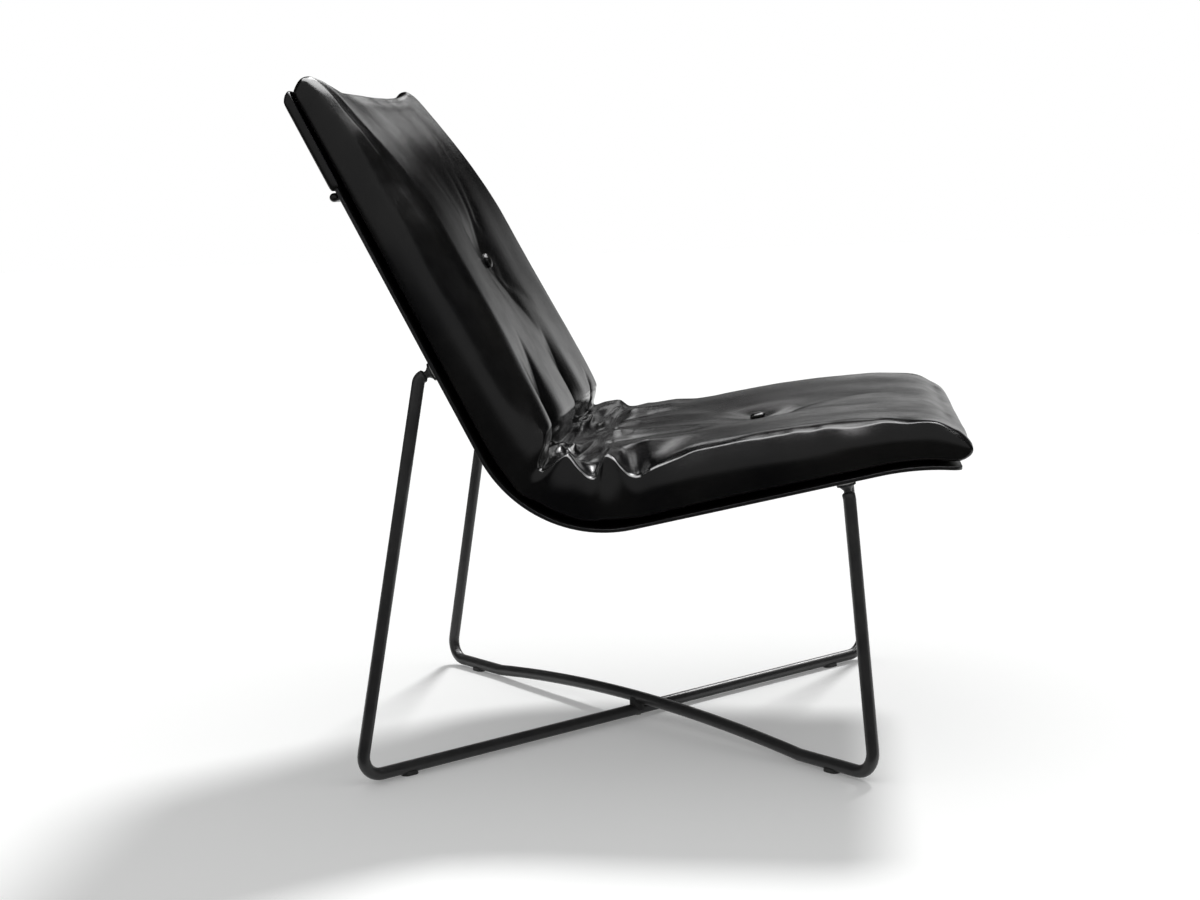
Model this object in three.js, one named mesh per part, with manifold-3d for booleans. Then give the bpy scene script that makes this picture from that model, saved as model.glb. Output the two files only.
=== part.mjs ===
// Lounge chair: a bent sheet shell on two crossed steel rods, with a loose buttoned leather pad.
// Millimetres. +X is the sitter's left, -Y the front, +Z up. The origin is on the floor, under the
// middle of the chair's overall plan.
import * as THREE from 'three';
import { mergeVertices } from 'three/addons/utils/BufferGeometryUtils.js';
import Module from 'manifold-3d';

const wasm = await Module();
wasm.setup();

// Driving dimensions
const CLEARANCE = 0.3; // between pieces that touch
const OVERCUT = 1; // how far cutting shapes pass the surfaces that they cut

const SHELL_THICKNESS = 4;
const SHELL_WIDTH = 590;
const BACK_LEAN = 26; // degrees from upright
const SEAT_RISE = 11.2; // degrees, higher at the front
const BEND_RADIUS = 156; // upper face, between back and seat
const BEND_AXIS_HEIGHT = 454;
const BACK_LENGTH = 457; // straight run above the bend
const SEAT_LENGTH = 286; // straight run in front of the bend
const LIP_LENGTH = 94; // front run that curves down
const LIP_DROOP = 6; // degrees below level at the front edge
const SHELL_CORNER_RADIUS = 14;

const ROD_DIAMETER = 15;
const FOOT_HALF_WIDTH = 308; // rod axes at the feet, from the middle
const FOOT_HALF_DEPTH = 299;
const FOOT_BEND_RADIUS = 26;
const TOP_BEND_RADIUS = 10;
const LEG_CORNER_OFFSET = 20.5; // rod axis corner under the shell's outer face
const ARCH_RISE = 16.7; // upper rod over the lower one at the crossing
const ARCH_INSET = 124; // from a foot to where the arch leaves the floor

const MOUNT_EDGE_INSET = 14; // mount axes from the shell's side edges
const REAR_MOUNT_RISE = 112; // above the bend, along the back
const FRONT_MOUNT_REACH = 247; // in front of the bend, along the seat
const WASHER_DIAMETER = 20;
const WASHER_THICKNESS = 1.6;
const BOSS_DIAMETER = 22;
const BOSS_RIM = 2; // height of the flange's straight rim
const BOSS_FLARE = 5; // height of the cone under the rim
const BOSS_NECK = 3; // height of the narrow neck
const BOSS_NECK_DIAMETER = 9;
const SPIGOT_DIAMETER = 7;
const SPIGOT_LENGTH = 7;
const ROD_END_CHAMFER = 1.5;
const SCREW_DIAMETER = 5;
const SCREW_HEAD_DIAMETER = 10;
const SCREW_HEAD_HEIGHT = 2.6;
const SCREW_REACH = 6; // thread inside the boss or the upper rod
const HEAD_RECESS = 0.2; // screw heads below the surface

const SADDLE_DIAMETER = 19;
const GLIDE_THICKNESS = 2; // under the rod
const GLIDE_GRIP = 3; // height of its cheeks up the rod
const GLIDE_LENGTH = 22;
const GLIDE_WIDTH = 14;
const GLIDE_INSET = 70; // from a foot, along the rod

const PAD_WIDTH = 582; // at its base
const BASE_PANEL_THICKNESS = 1.8;
const COVER_THICKNESS = 14; // leather with its wadding
const PAD_TOP_HEIGHT = 46;
const PAD_BACK_HEIGHT = 72;
const PAD_SEAT_HEIGHT = 67;
const PAD_FRONT_HEIGHT = 48;
const SHOULDER_DROP = 0.2; // share of the height lost from the middle to the sides
const SIDE_BULGE = 6;
const SIDE_SHOULDER = 10;
const SIDE_DRAW = 5; // sides pulled in between the corners
const TOP_BULGE = 12;
const TOP_SHOULDER = 16;
const TOP_DIP = 18; // top edge sags between its two corners
const FRONT_TUCK = 8;
const FRONT_BULGE = 13.4;
const FRONT_SHOULDER = 4;
const VALLEY_DEPTH = 26; // fold between back and seat
const VALLEY_SPREAD = 34;
const GATHER_DEPTH = 8;
const GATHER_PITCH = 108;
const GATHER_SPREAD = 66;
const GATHER_SLANT = 46;
const FILLING_SPLIT = 6;

const BUTTON_DIAMETER = 20;
const BUTTON_RIM = 2.5;
const BUTTON_DOME = 5;
const BACK_BUTTON_RUN = 254; // from the shell's top edge
const SEAT_BUTTON_REACH = 151; // in front of the bend
const TUFT_DEPTH = 15;
const TUFT_SPREAD = 62;
const TIE_DIAMETER = 3;
const TIE_HOLE_DIAMETER = 5;
const ANCHOR_DIAMETER = 24;
const ANCHOR_THICKNESS = 2;

const POCKET_THICKNESS = 2.6;
const POCKET_DEPTH = 112; // down the rear of the shell
const HEM_DIAMETER = 9;

// Facets
const ROUND_SIDES = 16;
const ROD_SIDES = 16;
const FOOT_BEND_STEPS = 8;
const TOP_BEND_STEPS = 5;
const ARCH_STEPS = 14;
const SHELL_BEND_STEPS = 18;
const LIP_STEPS = 5;
const COVER_GRID = [18, 25, 2]; // across, along and up
const CORE_GRID = [6, 14, 1];

// Finishes
function finish(color, roughness, metalness) {
  return new THREE.MeshStandardMaterial({ color, roughness, metalness });
}

const LACQUER = finish('#0d0d0e', 0.42, 0.2);
const ROD_BLACK = finish('#1a1a1b', 0.45, 0.5);
const ZINC = finish('#9a9da0', 0.4, 0.9);
const NYLON_GREY = finish('#b7b8b6', 0.6, 0);
const RUBBER = finish('#151515', 0.85, 0);
const LEATHER = finish('#121213', 0.38, 0);
const LINING = finish('#1b1a1a', 0.9, 0);
const FILLING = finish('#e6e1d4', 0.95, 0);
const TWINE = finish('#cfc7b5', 0.9, 0);
const PLASTIC = finish('#202020', 0.6, 0);

// Solids: welding, cutting and joining
const WELD = 1e-4;

/** Welds a geometry and turns its faces outwards. */
function welded(geometry) {
  const bare = geometry.clone();
  bare.deleteAttribute('normal');
  bare.deleteAttribute('uv');
  const merged = mergeVertices(bare, WELD);
  const position = merged.attributes.position.array;
  const corners = [];
  let volume = 0;
  const point = (i) => new THREE.Vector3().fromArray(position, 3 * i);
  for (let i = 0; i < merged.index.count; i += 3) {
    const [a, b, c] = [0, 1, 2].map((k) => merged.index.getX(i + k));
    if (a === b || b === c || c === a) continue;
    corners.push([a, b, c]);
    volume += point(a).dot(point(b).cross(point(c)));
  }
  const triVerts = new Uint32Array(corners.map((t) => (volume < 0 ? [t[0], t[2], t[1]] : t)).flat());
  return new wasm.Mesh({ numProp: 3, vertProperties: new Float32Array(position), triVerts });
}

const solid = (geometry) => new wasm.Manifold(welded(geometry));

/** Geometry of a solid, ready for a mesh. */
function geometryOf(body) {
  const mesh = body.getMesh();
  const geometry = new THREE.BufferGeometry();
  geometry.setAttribute('position', new THREE.BufferAttribute(new Float32Array(mesh.vertProperties), 3));
  geometry.setIndex(new THREE.BufferAttribute(new Uint32Array(mesh.triVerts), 1));
  geometry.computeVertexNormals();
  return geometry;
}

/** Cuts every tool out of a base. */
const carve = (base, ...tools) => tools.reduce((body, tool) => body.subtract(solid(tool)), solid(base));

const chair = new THREE.Group();

/** Adds one named piece to the chair. */
function addPiece(name, body, material, parent = chair) {
  const mesh = new THREE.Mesh(geometryOf(body), material);
  mesh.name = name;
  parent.add(mesh);
}

// Side view of the shell: s runs down its upper face from the top edge, h stands off that face
const { degToRad, smoothstep, lerp } = THREE.MathUtils;
const backAngle = Math.PI - degToRad(BACK_LEAN);
const seatAngle = Math.PI / 2 - degToRad(SEAT_RISE);
const bendStart = BACK_LENGTH;
const bendEnd = bendStart + BEND_RADIUS * (backAngle - seatAngle);
const lipStart = bendEnd + SEAT_LENGTH;
const lipEnd = lipStart + LIP_LENGTH;
const lipRadius = LIP_LENGTH / degToRad(SEAT_RISE + LIP_DROOP);
const crease = (bendStart + bendEnd) / 2;
const bendAxis = new THREE.Vector2(0, BEND_AXIS_HEIGHT);

const heading = (angle) => new THREE.Vector2(Math.cos(angle), Math.sin(angle));
const runHeading = (angle) => heading(angle + Math.PI / 2);

/** Angle of the upper face's normal at run s. */
function facing(s) {
  if (s < bendEnd) return backAngle - Math.max(0, s - bendStart) / BEND_RADIUS;
  return seatAngle + THREE.MathUtils.clamp(s - lipStart, 0, LIP_LENGTH) / lipRadius;
}

/** Point (y, z) of the side view at run s and height h. */
function sidePoint(s, h) {
  const angle = facing(s);
  if (s < lipStart) {
    const straight = s < bendEnd ? Math.min(0, s - bendStart) : s - bendEnd;
    return bendAxis.clone().addScaledVector(heading(angle), h - BEND_RADIUS)
      .addScaledVector(runHeading(angle), straight);
  }
  const lipAxis = sidePoint(lipStart - WELD, -lipRadius);
  return lipAxis.addScaledVector(heading(angle), lipRadius + h)
    .addScaledVector(runHeading(angle), Math.max(0, s - lipEnd));
}

const X_AXIS = new THREE.Vector3(1, 0, 0);
const Y_AXIS = new THREE.Vector3(0, 1, 0);
const Z_AXIS = new THREE.Vector3(0, 0, 1);
const sideToWorld = new THREE.Matrix4().makeBasis(Y_AXIS, Z_AXIS, X_AXIS);
const inWorld = (point, x) => new THREE.Vector3(x, point.x, point.y);

/** Frame on the shell: its Y axis is the face's normal, scaled by side, its X axis the world's. */
function shellFrame(s, h, x, side) {
  const up = heading(facing(s)).multiplyScalar(side);
  const normal = inWorld(up, 0);
  const origin = inWorld(sidePoint(s, h), x);
  return new THREE.Matrix4().makeBasis(X_AXIS, normal, X_AXIS.clone().cross(normal)).setPosition(origin);
}

/** Runs where a bent sheet needs a station. */
function stations(from, to) {
  const runs = [from, to];
  for (let i = 0; i <= SHELL_BEND_STEPS; i++) runs.push(lerp(bendStart, bendEnd, i / SHELL_BEND_STEPS));
  for (let i = 0; i <= LIP_STEPS; i++) runs.push(lerp(lipStart, lipEnd, i / LIP_STEPS));
  return runs.filter((s) => s >= from && s <= to).sort((a, b) => a - b);
}

/** Sheet bent along the shell, between two heights, from side to side. */
function bentSheet(from, to, low, high, width) {
  const runs = stations(from, to);
  const lower = runs.map((s) => sidePoint(s, low));
  const upper = runs.map((s) => sidePoint(s, high)).reverse();
  const outline = new THREE.Shape([...lower, ...upper]);
  const geometry = new THREE.ExtrudeGeometry(outline, { depth: width, bevelEnabled: false });
  return geometry.applyMatrix4(sideToWorld).translate(-width / 2, 0, 0);
}

/** Turned piece about the Y axis from [radius, height] points. */
const turned = (points) => new THREE.LatheGeometry(points.map((p) => new THREE.Vector2(...p)), ROUND_SIDES);

/** Round bar or hole along Y between two heights. */
function bar(radius, low, high) {
  const length = high - low;
  return new THREE.CylinderGeometry(radius, radius, length, ROUND_SIDES).translate(0, low + length / 2, 0);
}

/** Corner of a sheet outside its rounding, for cutting: in X and Z, rounded towards the origin. */
function cornerTool(radius, thickness, xSide, zSide) {
  const beyond = radius + OVERCUT;
  const shape = new THREE.Shape();
  shape.moveTo(0, radius);
  shape.absarc(0, 0, radius, Math.PI / 2, 0, true);
  shape.lineTo(beyond, 0);
  shape.lineTo(beyond, beyond);
  shape.lineTo(0, beyond);
  const depth = { depth: thickness, bevelEnabled: false, curveSegments: 5 };
  const tool = new THREE.ExtrudeGeometry(shape, depth);
  return tool.rotateX(Math.PI / 2).translate(0, thickness / 2, 0).scale(xSide, 1, zSide);
}

// Screwed mounts: four, where the rod ends meet the shell's outer face
const rodRadius = ROD_DIAMETER / 2;
const screwRadius = SCREW_DIAMETER / 2;
const screwHole = screwRadius + CLEARANCE;
const headRadius = SCREW_HEAD_DIAMETER / 2;
const bossBase = 2 * CLEARANCE + WASHER_THICKNESS;
const bossEnd = bossBase + BOSS_RIM + BOSS_FLARE + BOSS_NECK;
const rodEnd = bossEnd + CLEARANCE;
const mountX = SHELL_WIDTH / 2 - MOUNT_EDGE_INSET;
const mounts = [
  { name: 'rear_right', s: bendStart - REAR_MOUNT_RISE, x: -mountX },
  { name: 'rear_left', s: bendStart - REAR_MOUNT_RISE, x: mountX },
  { name: 'front_right', s: bendEnd + FRONT_MOUNT_REACH, x: -mountX },
  { name: 'front_left', s: bendEnd + FRONT_MOUNT_REACH, x: mountX },
];
for (const mount of mounts) {
  mount.frame = shellFrame(mount.s, -SHELL_THICKNESS, mount.x, -1);
  mount.at = (distance) => new THREE.Vector3(0, distance, 0).applyMatrix4(mount.frame);
}

/** Countersunk screw or, with a gap, its hole: head at the low end, tip at the high end. */
function screwForm(head, tip, gap) {
  const wide = headRadius + gap;
  const narrow = screwRadius + gap;
  return turned([[0, head], [wide, head], [narrow, head + SCREW_HEAD_HEIGHT], [narrow, tip], [0, tip]]);
}

const screwTip = bossBase + SCREW_REACH;
const flareRadius = BOSS_DIAMETER / 2 - BOSS_RIM;

/** Flange with a cone, a narrow neck and a spigot for the rod's bore, tapped for the screw. */
function bossForm() {
  const rimEnd = bossBase + BOSS_RIM;
  const flareEnd = rimEnd + BOSS_FLARE;
  const neck = BOSS_NECK_DIAMETER / 2;
  const spigot = SPIGOT_DIAMETER / 2;
  const hollow = screwTip + CLEARANCE;
  return turned([
    [0, hollow], [screwHole, hollow], [screwHole, bossBase], [BOSS_DIAMETER / 2, bossBase],
    [BOSS_DIAMETER / 2, rimEnd], [flareRadius, rimEnd], [neck, flareEnd], [neck, bossEnd],
    [spigot, bossEnd], [spigot, bossEnd + SPIGOT_LENGTH], [0, bossEnd + SPIGOT_LENGTH],
  ]);
}

function washerForm() {
  const low = CLEARANCE;
  const high = CLEARANCE + WASHER_THICKNESS;
  const outer = WASHER_DIAMETER / 2;
  return turned([[screwHole, low], [outer, low], [outer, high], [screwHole, high], [screwHole, low]]);
}

for (const mount of mounts) {
  const group = new THREE.Group();
  group.applyMatrix4(mount.frame);
  chair.add(group);
  addPiece(`mount_boss_${mount.name}`, solid(bossForm()), ROD_BLACK, group);
  addPiece(`mount_washer_${mount.name}`, solid(washerForm()), NYLON_GREY, group);
  const screw = screwForm(HEAD_RECESS - SHELL_THICKNESS, screwTip, 0);
  addPiece(`mount_screw_${mount.name}`, solid(screw), ZINC, group);
}

// Shell
function makeShell() {
  const holes = mounts.map((mount) => {
    const form = screwForm(-SHELL_THICKNESS, SHELL_THICKNESS, CLEARANCE);
    const mouth = bar(headRadius + CLEARANCE, -2 * SHELL_THICKNESS, HEAD_RECESS - SHELL_THICKNESS);
    return [form.applyMatrix4(mount.frame), mouth.applyMatrix4(mount.frame)];
  });
  const corners = [-1, 1].flatMap((side) => [[0, -1], [lipEnd, 1]].map(([s, end]) => {
    const inset = SHELL_CORNER_RADIUS;
    const frame = shellFrame(s - end * inset, -SHELL_THICKNESS / 2, side * (SHELL_WIDTH / 2 - inset), 1);
    return cornerTool(inset, 6 * SHELL_THICKNESS, side, -end).applyMatrix4(frame);
  }));
  return carve(bentSheet(0, lipEnd, -SHELL_THICKNESS, 0, SHELL_WIDTH), ...corners, ...holes.flat());
}
addPiece('seat_shell', makeShell(), LACQUER);

// Base rods: each runs from a rear mount down to the floor, across it and up to the other front mount
const axisHeight = GLIDE_THICKNESS + rodRadius;

/** Corner of a rod's route at one foot. */
function footAt(xSide, ySide) {
  return new THREE.Vector3(xSide * FOOT_HALF_WIDTH, ySide * FOOT_HALF_DEPTH, axisHeight);
}

/** Route with given stations, without respacing. */
class StationPath extends THREE.Curve {
  constructor(points) {
    super();
    this.points = points;
  }

  indexAt(u) {
    return Math.round(u * (this.points.length - 1));
  }

  getPointAt(u) {
    return this.points[this.indexAt(u)].clone();
  }

  getTangentAt(u) {
    const i = this.indexAt(u);
    const here = this.points[i];
    const before = this.points[Math.max(0, i - 1)];
    const after = this.points[Math.min(this.points.length - 1, i + 1)];
    const entering = here.clone().sub(before).normalize();
    return after.clone().sub(here).normalize().add(entering).normalize();
  }
}

/** Arc of a given radius that rounds one corner of a route. */
function filletArc(before, corner, after, radius, steps) {
  const back = before.clone().sub(corner).normalize();
  const onward = after.clone().sub(corner).normalize();
  const half = back.angleTo(onward) / 2;
  const middle = back.clone().add(onward).normalize();
  const centre = corner.clone().addScaledVector(middle, radius / Math.sin(half));
  const start = corner.clone().addScaledVector(back, radius / Math.tan(half)).sub(centre);
  const axis = back.clone().cross(onward).normalize();
  const sweep = 2 * half - Math.PI;
  return Array.from({ length: steps + 1 }, (_, i) => {
    return start.clone().applyAxisAngle(axis, (sweep * i) / steps).add(centre);
  });
}

/** Stations of the arch over the crossing, between two feet. */
function archOver(from, to) {
  const span = from.distanceTo(to);
  return Array.from({ length: ARCH_STEPS + 1 }, (_, i) => {
    const across = i / ARCH_STEPS;
    const along = (ARCH_INSET + across * (span - 2 * ARCH_INSET)) / span;
    const rise = ARCH_RISE * (1 - (2 * across - 1) ** 2);
    return from.clone().lerp(to, along).addScaledVector(Z_AXIS, rise);
  });
}

/** Bent rod between a rear and a front mount, with a bore and a chamfer at each end. */
function makeRod(rear, front, rearFoot, frontFoot, arched) {
  const rearCorner = rear.at(LEG_CORNER_OFFSET);
  const frontCorner = front.at(LEG_CORNER_OFFSET);
  const route = [
    rear.at(rodEnd),
    ...filletArc(rear.at(rodEnd), rearCorner, rearFoot, TOP_BEND_RADIUS, TOP_BEND_STEPS),
    ...filletArc(rearCorner, rearFoot, frontFoot, FOOT_BEND_RADIUS, FOOT_BEND_STEPS),
    ...(arched ? archOver(rearFoot, frontFoot) : []),
    ...filletArc(rearFoot, frontFoot, frontCorner, FOOT_BEND_RADIUS, FOOT_BEND_STEPS),
    ...filletArc(frontFoot, frontCorner, front.at(rodEnd), TOP_BEND_RADIUS, TOP_BEND_STEPS),
    front.at(rodEnd),
  ];
  const section = new THREE.Shape().absarc(0, 0, rodRadius, 0, 2 * Math.PI);
  const path = new StationPath(route);
  const sweep = { extrudePath: path, steps: route.length - 1, curveSegments: ROD_SIDES / 2 };
  const rod = new THREE.ExtrudeGeometry(section, sweep);
  const tools = [rear, front].flatMap(({ frame }) => [
    bar(SPIGOT_DIAMETER / 2 + CLEARANCE, rodEnd - OVERCUT, rodEnd + SPIGOT_LENGTH).applyMatrix4(frame),
    chamferRing().applyMatrix4(frame),
  ]);
  return carve(rod, ...tools);
}

/** Ring that bevels a rod's end. */
function chamferRing() {
  const inner = rodRadius - ROD_END_CHAMFER;
  const outer = rodRadius + ROD_END_CHAMFER;
  const far = rodEnd + 2 * ROD_END_CHAMFER;
  const near = rodEnd - OVERCUT;
  return turned([[inner, rodEnd], [outer, far], [outer, near], [inner, near], [inner, rodEnd]]);
}

const lowRearFoot = footAt(-1, 1);
const lowFrontFoot = footAt(1, -1);
const highRearFoot = footAt(1, 1);
const highFrontFoot = footAt(-1, -1);
const crossingHead = GLIDE_THICKNESS + HEAD_RECESS;
const crossingTip = axisHeight + ARCH_RISE;
const crossingScrew = screwForm(crossingHead, crossingTip, 0).rotateX(Math.PI / 2);
const crossingHole = screwForm(crossingHead, crossingTip + CLEARANCE, CLEARANCE).rotateX(Math.PI / 2);
const crossingMouth = bar(headRadius + CLEARANCE, 0, crossingHead).rotateX(Math.PI / 2);
const drilled = (rod) => rod.subtract(solid(crossingHole)).subtract(solid(crossingMouth));

const [rearRight, rearLeft, frontRight, frontLeft] = mounts;
const lowRod = makeRod(rearRight, frontLeft, lowRearFoot, lowFrontFoot, false);
const highRod = makeRod(rearLeft, frontRight, highRearFoot, highFrontFoot, true);
addPiece('base_rod_low', drilled(lowRod), ROD_BLACK);
addPiece('base_rod_arched', drilled(highRod), ROD_BLACK);

/** Straight bar between two points, for cutting a seat for a rod. */
function barBetween(from, to, radius) {
  const along = to.clone().sub(from);
  const turn = new THREE.Quaternion().setFromUnitVectors(Y_AXIS, along.clone().normalize());
  const place = new THREE.Matrix4().makeRotationFromQuaternion(turn).setPosition(from);
  return bar(radius, 0, along.length()).applyMatrix4(place);
}

// Saddle between the two rods where they cross, and the screw that draws them together
const lowCut = barBetween(lowRearFoot, lowFrontFoot, rodRadius + CLEARANCE);
const highCut = barBetween(highRearFoot, highFrontFoot, rodRadius + CLEARANCE).translate(0, 0, ARCH_RISE);
const saddle = bar(SADDLE_DIAMETER / 2, axisHeight, axisHeight + ARCH_RISE).rotateX(Math.PI / 2);
addPiece('crossing_saddle', carve(saddle, lowCut, highCut, crossingHole), RUBBER);
addPiece('crossing_screw', solid(crossingScrew), ZINC);

// Glides under the rods, near the feet
function makeGlide(foot, toward) {
  const height = GLIDE_THICKNESS + GLIDE_GRIP;
  const along = toward.clone().sub(foot).normalize();
  const spot = foot.clone().addScaledVector(along, GLIDE_INSET);
  const shape = new THREE.Shape();
  const straight = (GLIDE_LENGTH - GLIDE_WIDTH) / 2;
  shape.absarc(straight, 0, GLIDE_WIDTH / 2, -Math.PI / 2, Math.PI / 2);
  shape.absarc(-straight, 0, GLIDE_WIDTH / 2, Math.PI / 2, 1.5 * Math.PI);
  const pad = new THREE.ExtrudeGeometry(shape, { depth: height, bevelEnabled: false, curveSegments: 4 });
  pad.rotateZ(Math.atan2(along.y, along.x)).translate(spot.x, spot.y, 0);
  return carve(pad, barBetween(foot, toward, rodRadius + CLEARANCE));
}
addPiece('foot_glide_rear_right', makeGlide(lowRearFoot, lowFrontFoot), PLASTIC);
addPiece('foot_glide_front_left', makeGlide(lowFrontFoot, lowRearFoot), PLASTIC);
addPiece('foot_glide_rear_left', makeGlide(highRearFoot, highFrontFoot), PLASTIC);
addPiece('foot_glide_front_right', makeGlide(highFrontFoot, highRearFoot), PLASTIC);

// Pad: heights over the shell's upper face
const panelTop = CLEARANCE + BASE_PANEL_THICKNESS;
const padBase = panelTop + CLEARANCE;
const buttons = [
  { name: 'back', s: BACK_BUTTON_RUN },
  { name: 'seat', s: bendEnd + SEAT_BUTTON_REACH },
];
const bell = (distance, spread) => Math.exp(-((distance / spread) ** 2));

/** Height of the pad's crown along the chair, before its sides, tufts and folds. */
function crownHeight(s) {
  const back = lerp(PAD_TOP_HEIGHT, PAD_BACK_HEIGHT, smoothstep(s, 0, BACK_LENGTH / 2));
  const seat = lerp(back, PAD_SEAT_HEIGHT, smoothstep(s, bendStart, bendEnd));
  return lerp(seat, PAD_FRONT_HEIGHT, smoothstep(s, lipStart - LIP_LENGTH, lipEnd));
}

/** Height of the pad's upper surface at run s and x, with a share of the gathers. */
function padHeight(s, x, gathers) {
  const share = Math.min(1, Math.abs(x) / (PAD_WIDTH / 2));
  const crown = crownHeight(s) * (1 - SHOULDER_DROP * share ** 4);
  const tufts = buttons.map((button) => TUFT_DEPTH * bell(Math.hypot(s - button.s, x), TUFT_SPREAD));
  const fold = VALLEY_DEPTH * bell(s - crease, VALLEY_SPREAD);
  const wave = Math.cos((2 * Math.PI * x) / GATHER_PITCH + (s - crease) / GATHER_SLANT);
  const gather = gathers * GATHER_DEPTH * wave * bell(s - crease, GATHER_SPREAD);
  return crown - tufts[0] - tufts[1] - fold + gather;
}

/** Share of the run at share b of the stations, which lie closer together at the bend. */
function crowdedShare(b) {
  const crowding = 0.55;
  const wave = (t) => Math.sin(2 * Math.PI * (t - (crease / lipEnd)));
  return b - crowding * (wave(b) - wave(0)) / (2 * Math.PI);
}

/** Pad-shaped body on the shell: its sides bulge, its corners round, its top follows the pad's height. */
function padBody(inset, grid, gathers) {
  const geometry = new THREE.BoxGeometry(2, 1, 1, ...grid);
  const position = geometry.attributes.position;
  for (let i = 0; i < position.count; i++) {
    const a = position.getX(i);
    const b = position.getY(i) + 0.5;
    const c = position.getZ(i) + 0.5;
    const bulge = 4 * c * (1 - c);
    const shoulder = c ** 4;
    const overTop = CLEARANCE + POCKET_THICKNESS;
    const top = inset - overTop - TOP_BULGE * bulge + TOP_SHOULDER * shoulder + TOP_DIP * (1 - a * a) * c;
    const front = lipEnd - inset - FRONT_TUCK + FRONT_BULGE * bulge - FRONT_SHOULDER * shoulder;
    const s = lerp(top, front, crowdedShare(b));
    const lobe = s < crease ? s / crease : (s - crease) / (lipEnd - crease);
    const draw = SIDE_DRAW * Math.sin(Math.PI * THREE.MathUtils.clamp(lobe, 0, 1)) ** 2;
    const half = PAD_WIDTH / 2 - inset + SIDE_BULGE * bulge - SIDE_SHOULDER * shoulder - draw * c;
    const x = a * half;
    const h = c * (padHeight(s, x, gathers) - inset);
    const point = sidePoint(s, h);
    position.setXYZ(i, x, point.x, point.y);
  }
  return geometry;
}

/** Upright bar at a button, between two heights over the shell. */
function buttonBar(button, radius, low, high) {
  return bar(radius, low, high).applyMatrix4(shellFrame(button.s, 0, 0, 1));
}

for (const button of buttons) button.seat = padHeight(button.s, 0, 0) - CLEARANCE;
const buttonRadius = BUTTON_DIAMETER / 2;
const tieHole = TIE_HOLE_DIAMETER / 2;
const overPad = 2 * PAD_BACK_HEIGHT;

/** Everything under the pad's base, for trimming what rests on it. */
const underPad = () => bentSheet(-overPad, lipEnd + overPad, -overPad, padBase, SHELL_WIDTH + overPad);

function makeCover() {
  const cuts = buttons.flatMap((button) => [
    buttonBar(button, buttonRadius + CLEARANCE, button.seat - CLEARANCE, overPad),
    buttonBar(button, tieHole, 0, overPad),
  ]);
  return carve(padBody(0, COVER_GRID, 1), padBody(COVER_THICKNESS, CORE_GRID, 0), underPad(), ...cuts);
}
addPiece('pad_cover', makeCover(), LEATHER);
const basePanel = bentSheet(0, lipEnd - FRONT_TUCK, CLEARANCE, panelTop, PAD_WIDTH);
addPiece('pad_base_panel', solid(basePanel), LINING);

/** Part of the pad's filling on one side of the fold between back and seat. */
function makeFilling(side) {
  const reach = 2 * (BACK_LENGTH + BEND_RADIUS);
  const slab = new THREE.BoxGeometry(reach, reach, reach);
  slab.translate(0, 0, side * (FILLING_SPLIT + reach) / 2).applyMatrix4(shellFrame(crease, 0, 0, 1));
  const core = carve(padBody(COVER_THICKNESS + 2 * CLEARANCE, CORE_GRID, 0), underPad());
  return buttons.reduce((body, button) => {
    const hole = solid(buttonBar(button, tieHole, 0, overPad));
    const pitTop = padBase + ANCHOR_THICKNESS + CLEARANCE;
    const pit = buttonBar(button, ANCHOR_DIAMETER / 2 + CLEARANCE, 0, pitTop);
    return body.subtract(hole).subtract(solid(pit));
  }, core.intersect(solid(slab)));
}
addPiece('back_filling', makeFilling(-1), FILLING);
addPiece('seat_filling', makeFilling(1), FILLING);

// Buttons, each tied down through the pad to a disc inside it
function buttonForm(seat) {
  const rim = seat + BUTTON_RIM;
  const steps = 4;
  const dome = Array.from({ length: steps + 1 }, (_, i) => {
    const turn = (Math.PI / 2) * (i / steps);
    return [buttonRadius * Math.cos(turn), rim + BUTTON_DOME * Math.sin(turn)];
  });
  dome[steps][0] = 0;
  return turned([[0, seat], [buttonRadius, seat], ...dome]);
}

for (const button of buttons) {
  const anchorTop = padBase + ANCHOR_THICKNESS;
  const anchor = buttonBar(button, ANCHOR_DIAMETER / 2, padBase, anchorTop);
  const tie = buttonBar(button, TIE_DIAMETER / 2, anchorTop + CLEARANCE, button.seat - CLEARANCE);
  const form = buttonForm(button.seat).applyMatrix4(shellFrame(button.s, 0, 0, 1));
  addPiece(`${button.name}_button`, solid(form), LEATHER);
  addPiece(`${button.name}_button_tie`, solid(tie), TWINE);
  addPiece(`${button.name}_button_anchor`, solid(anchor), PLASTIC);
}

// Pocket: slips over the shell's top edge and hangs down its rear, with a rolled hem
function makePocket() {
  const inner = -SHELL_THICKNESS - CLEARANCE;
  const outer = inner - POCKET_THICKNESS;
  const web = bentSheet(-CLEARANCE - POCKET_THICKNESS, -CLEARANCE, outer, panelTop, SHELL_WIDTH);
  const rear = bentSheet(-2 * CLEARANCE, POCKET_DEPTH, outer, inner, SHELL_WIDTH);
  return solid(web).add(solid(rear));
}
addPiece('rear_pocket', makePocket(), LEATHER);

const hemRadius = HEM_DIAMETER / 2;
const hem = new THREE.CapsuleGeometry(hemRadius, SHELL_WIDTH - HEM_DIAMETER, 4, ROUND_SIDES);
const hemRun = POCKET_DEPTH + CLEARANCE + hemRadius;
const hemStandoff = SHELL_THICKNESS + CLEARANCE + hemRadius;
hem.rotateZ(Math.PI / 2).applyMatrix4(shellFrame(hemRun, -hemStandoff, 0, 1));
addPiece('pocket_hem', solid(hem), LEATHER);

// The origin stands under the middle of the whole plan
chair.updateMatrixWorld(true);
const bounds = new THREE.Box3().setFromObject(chair, true);
chair.position.y = -(bounds.min.y + bounds.max.y) / 2;

export default chair;
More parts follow.
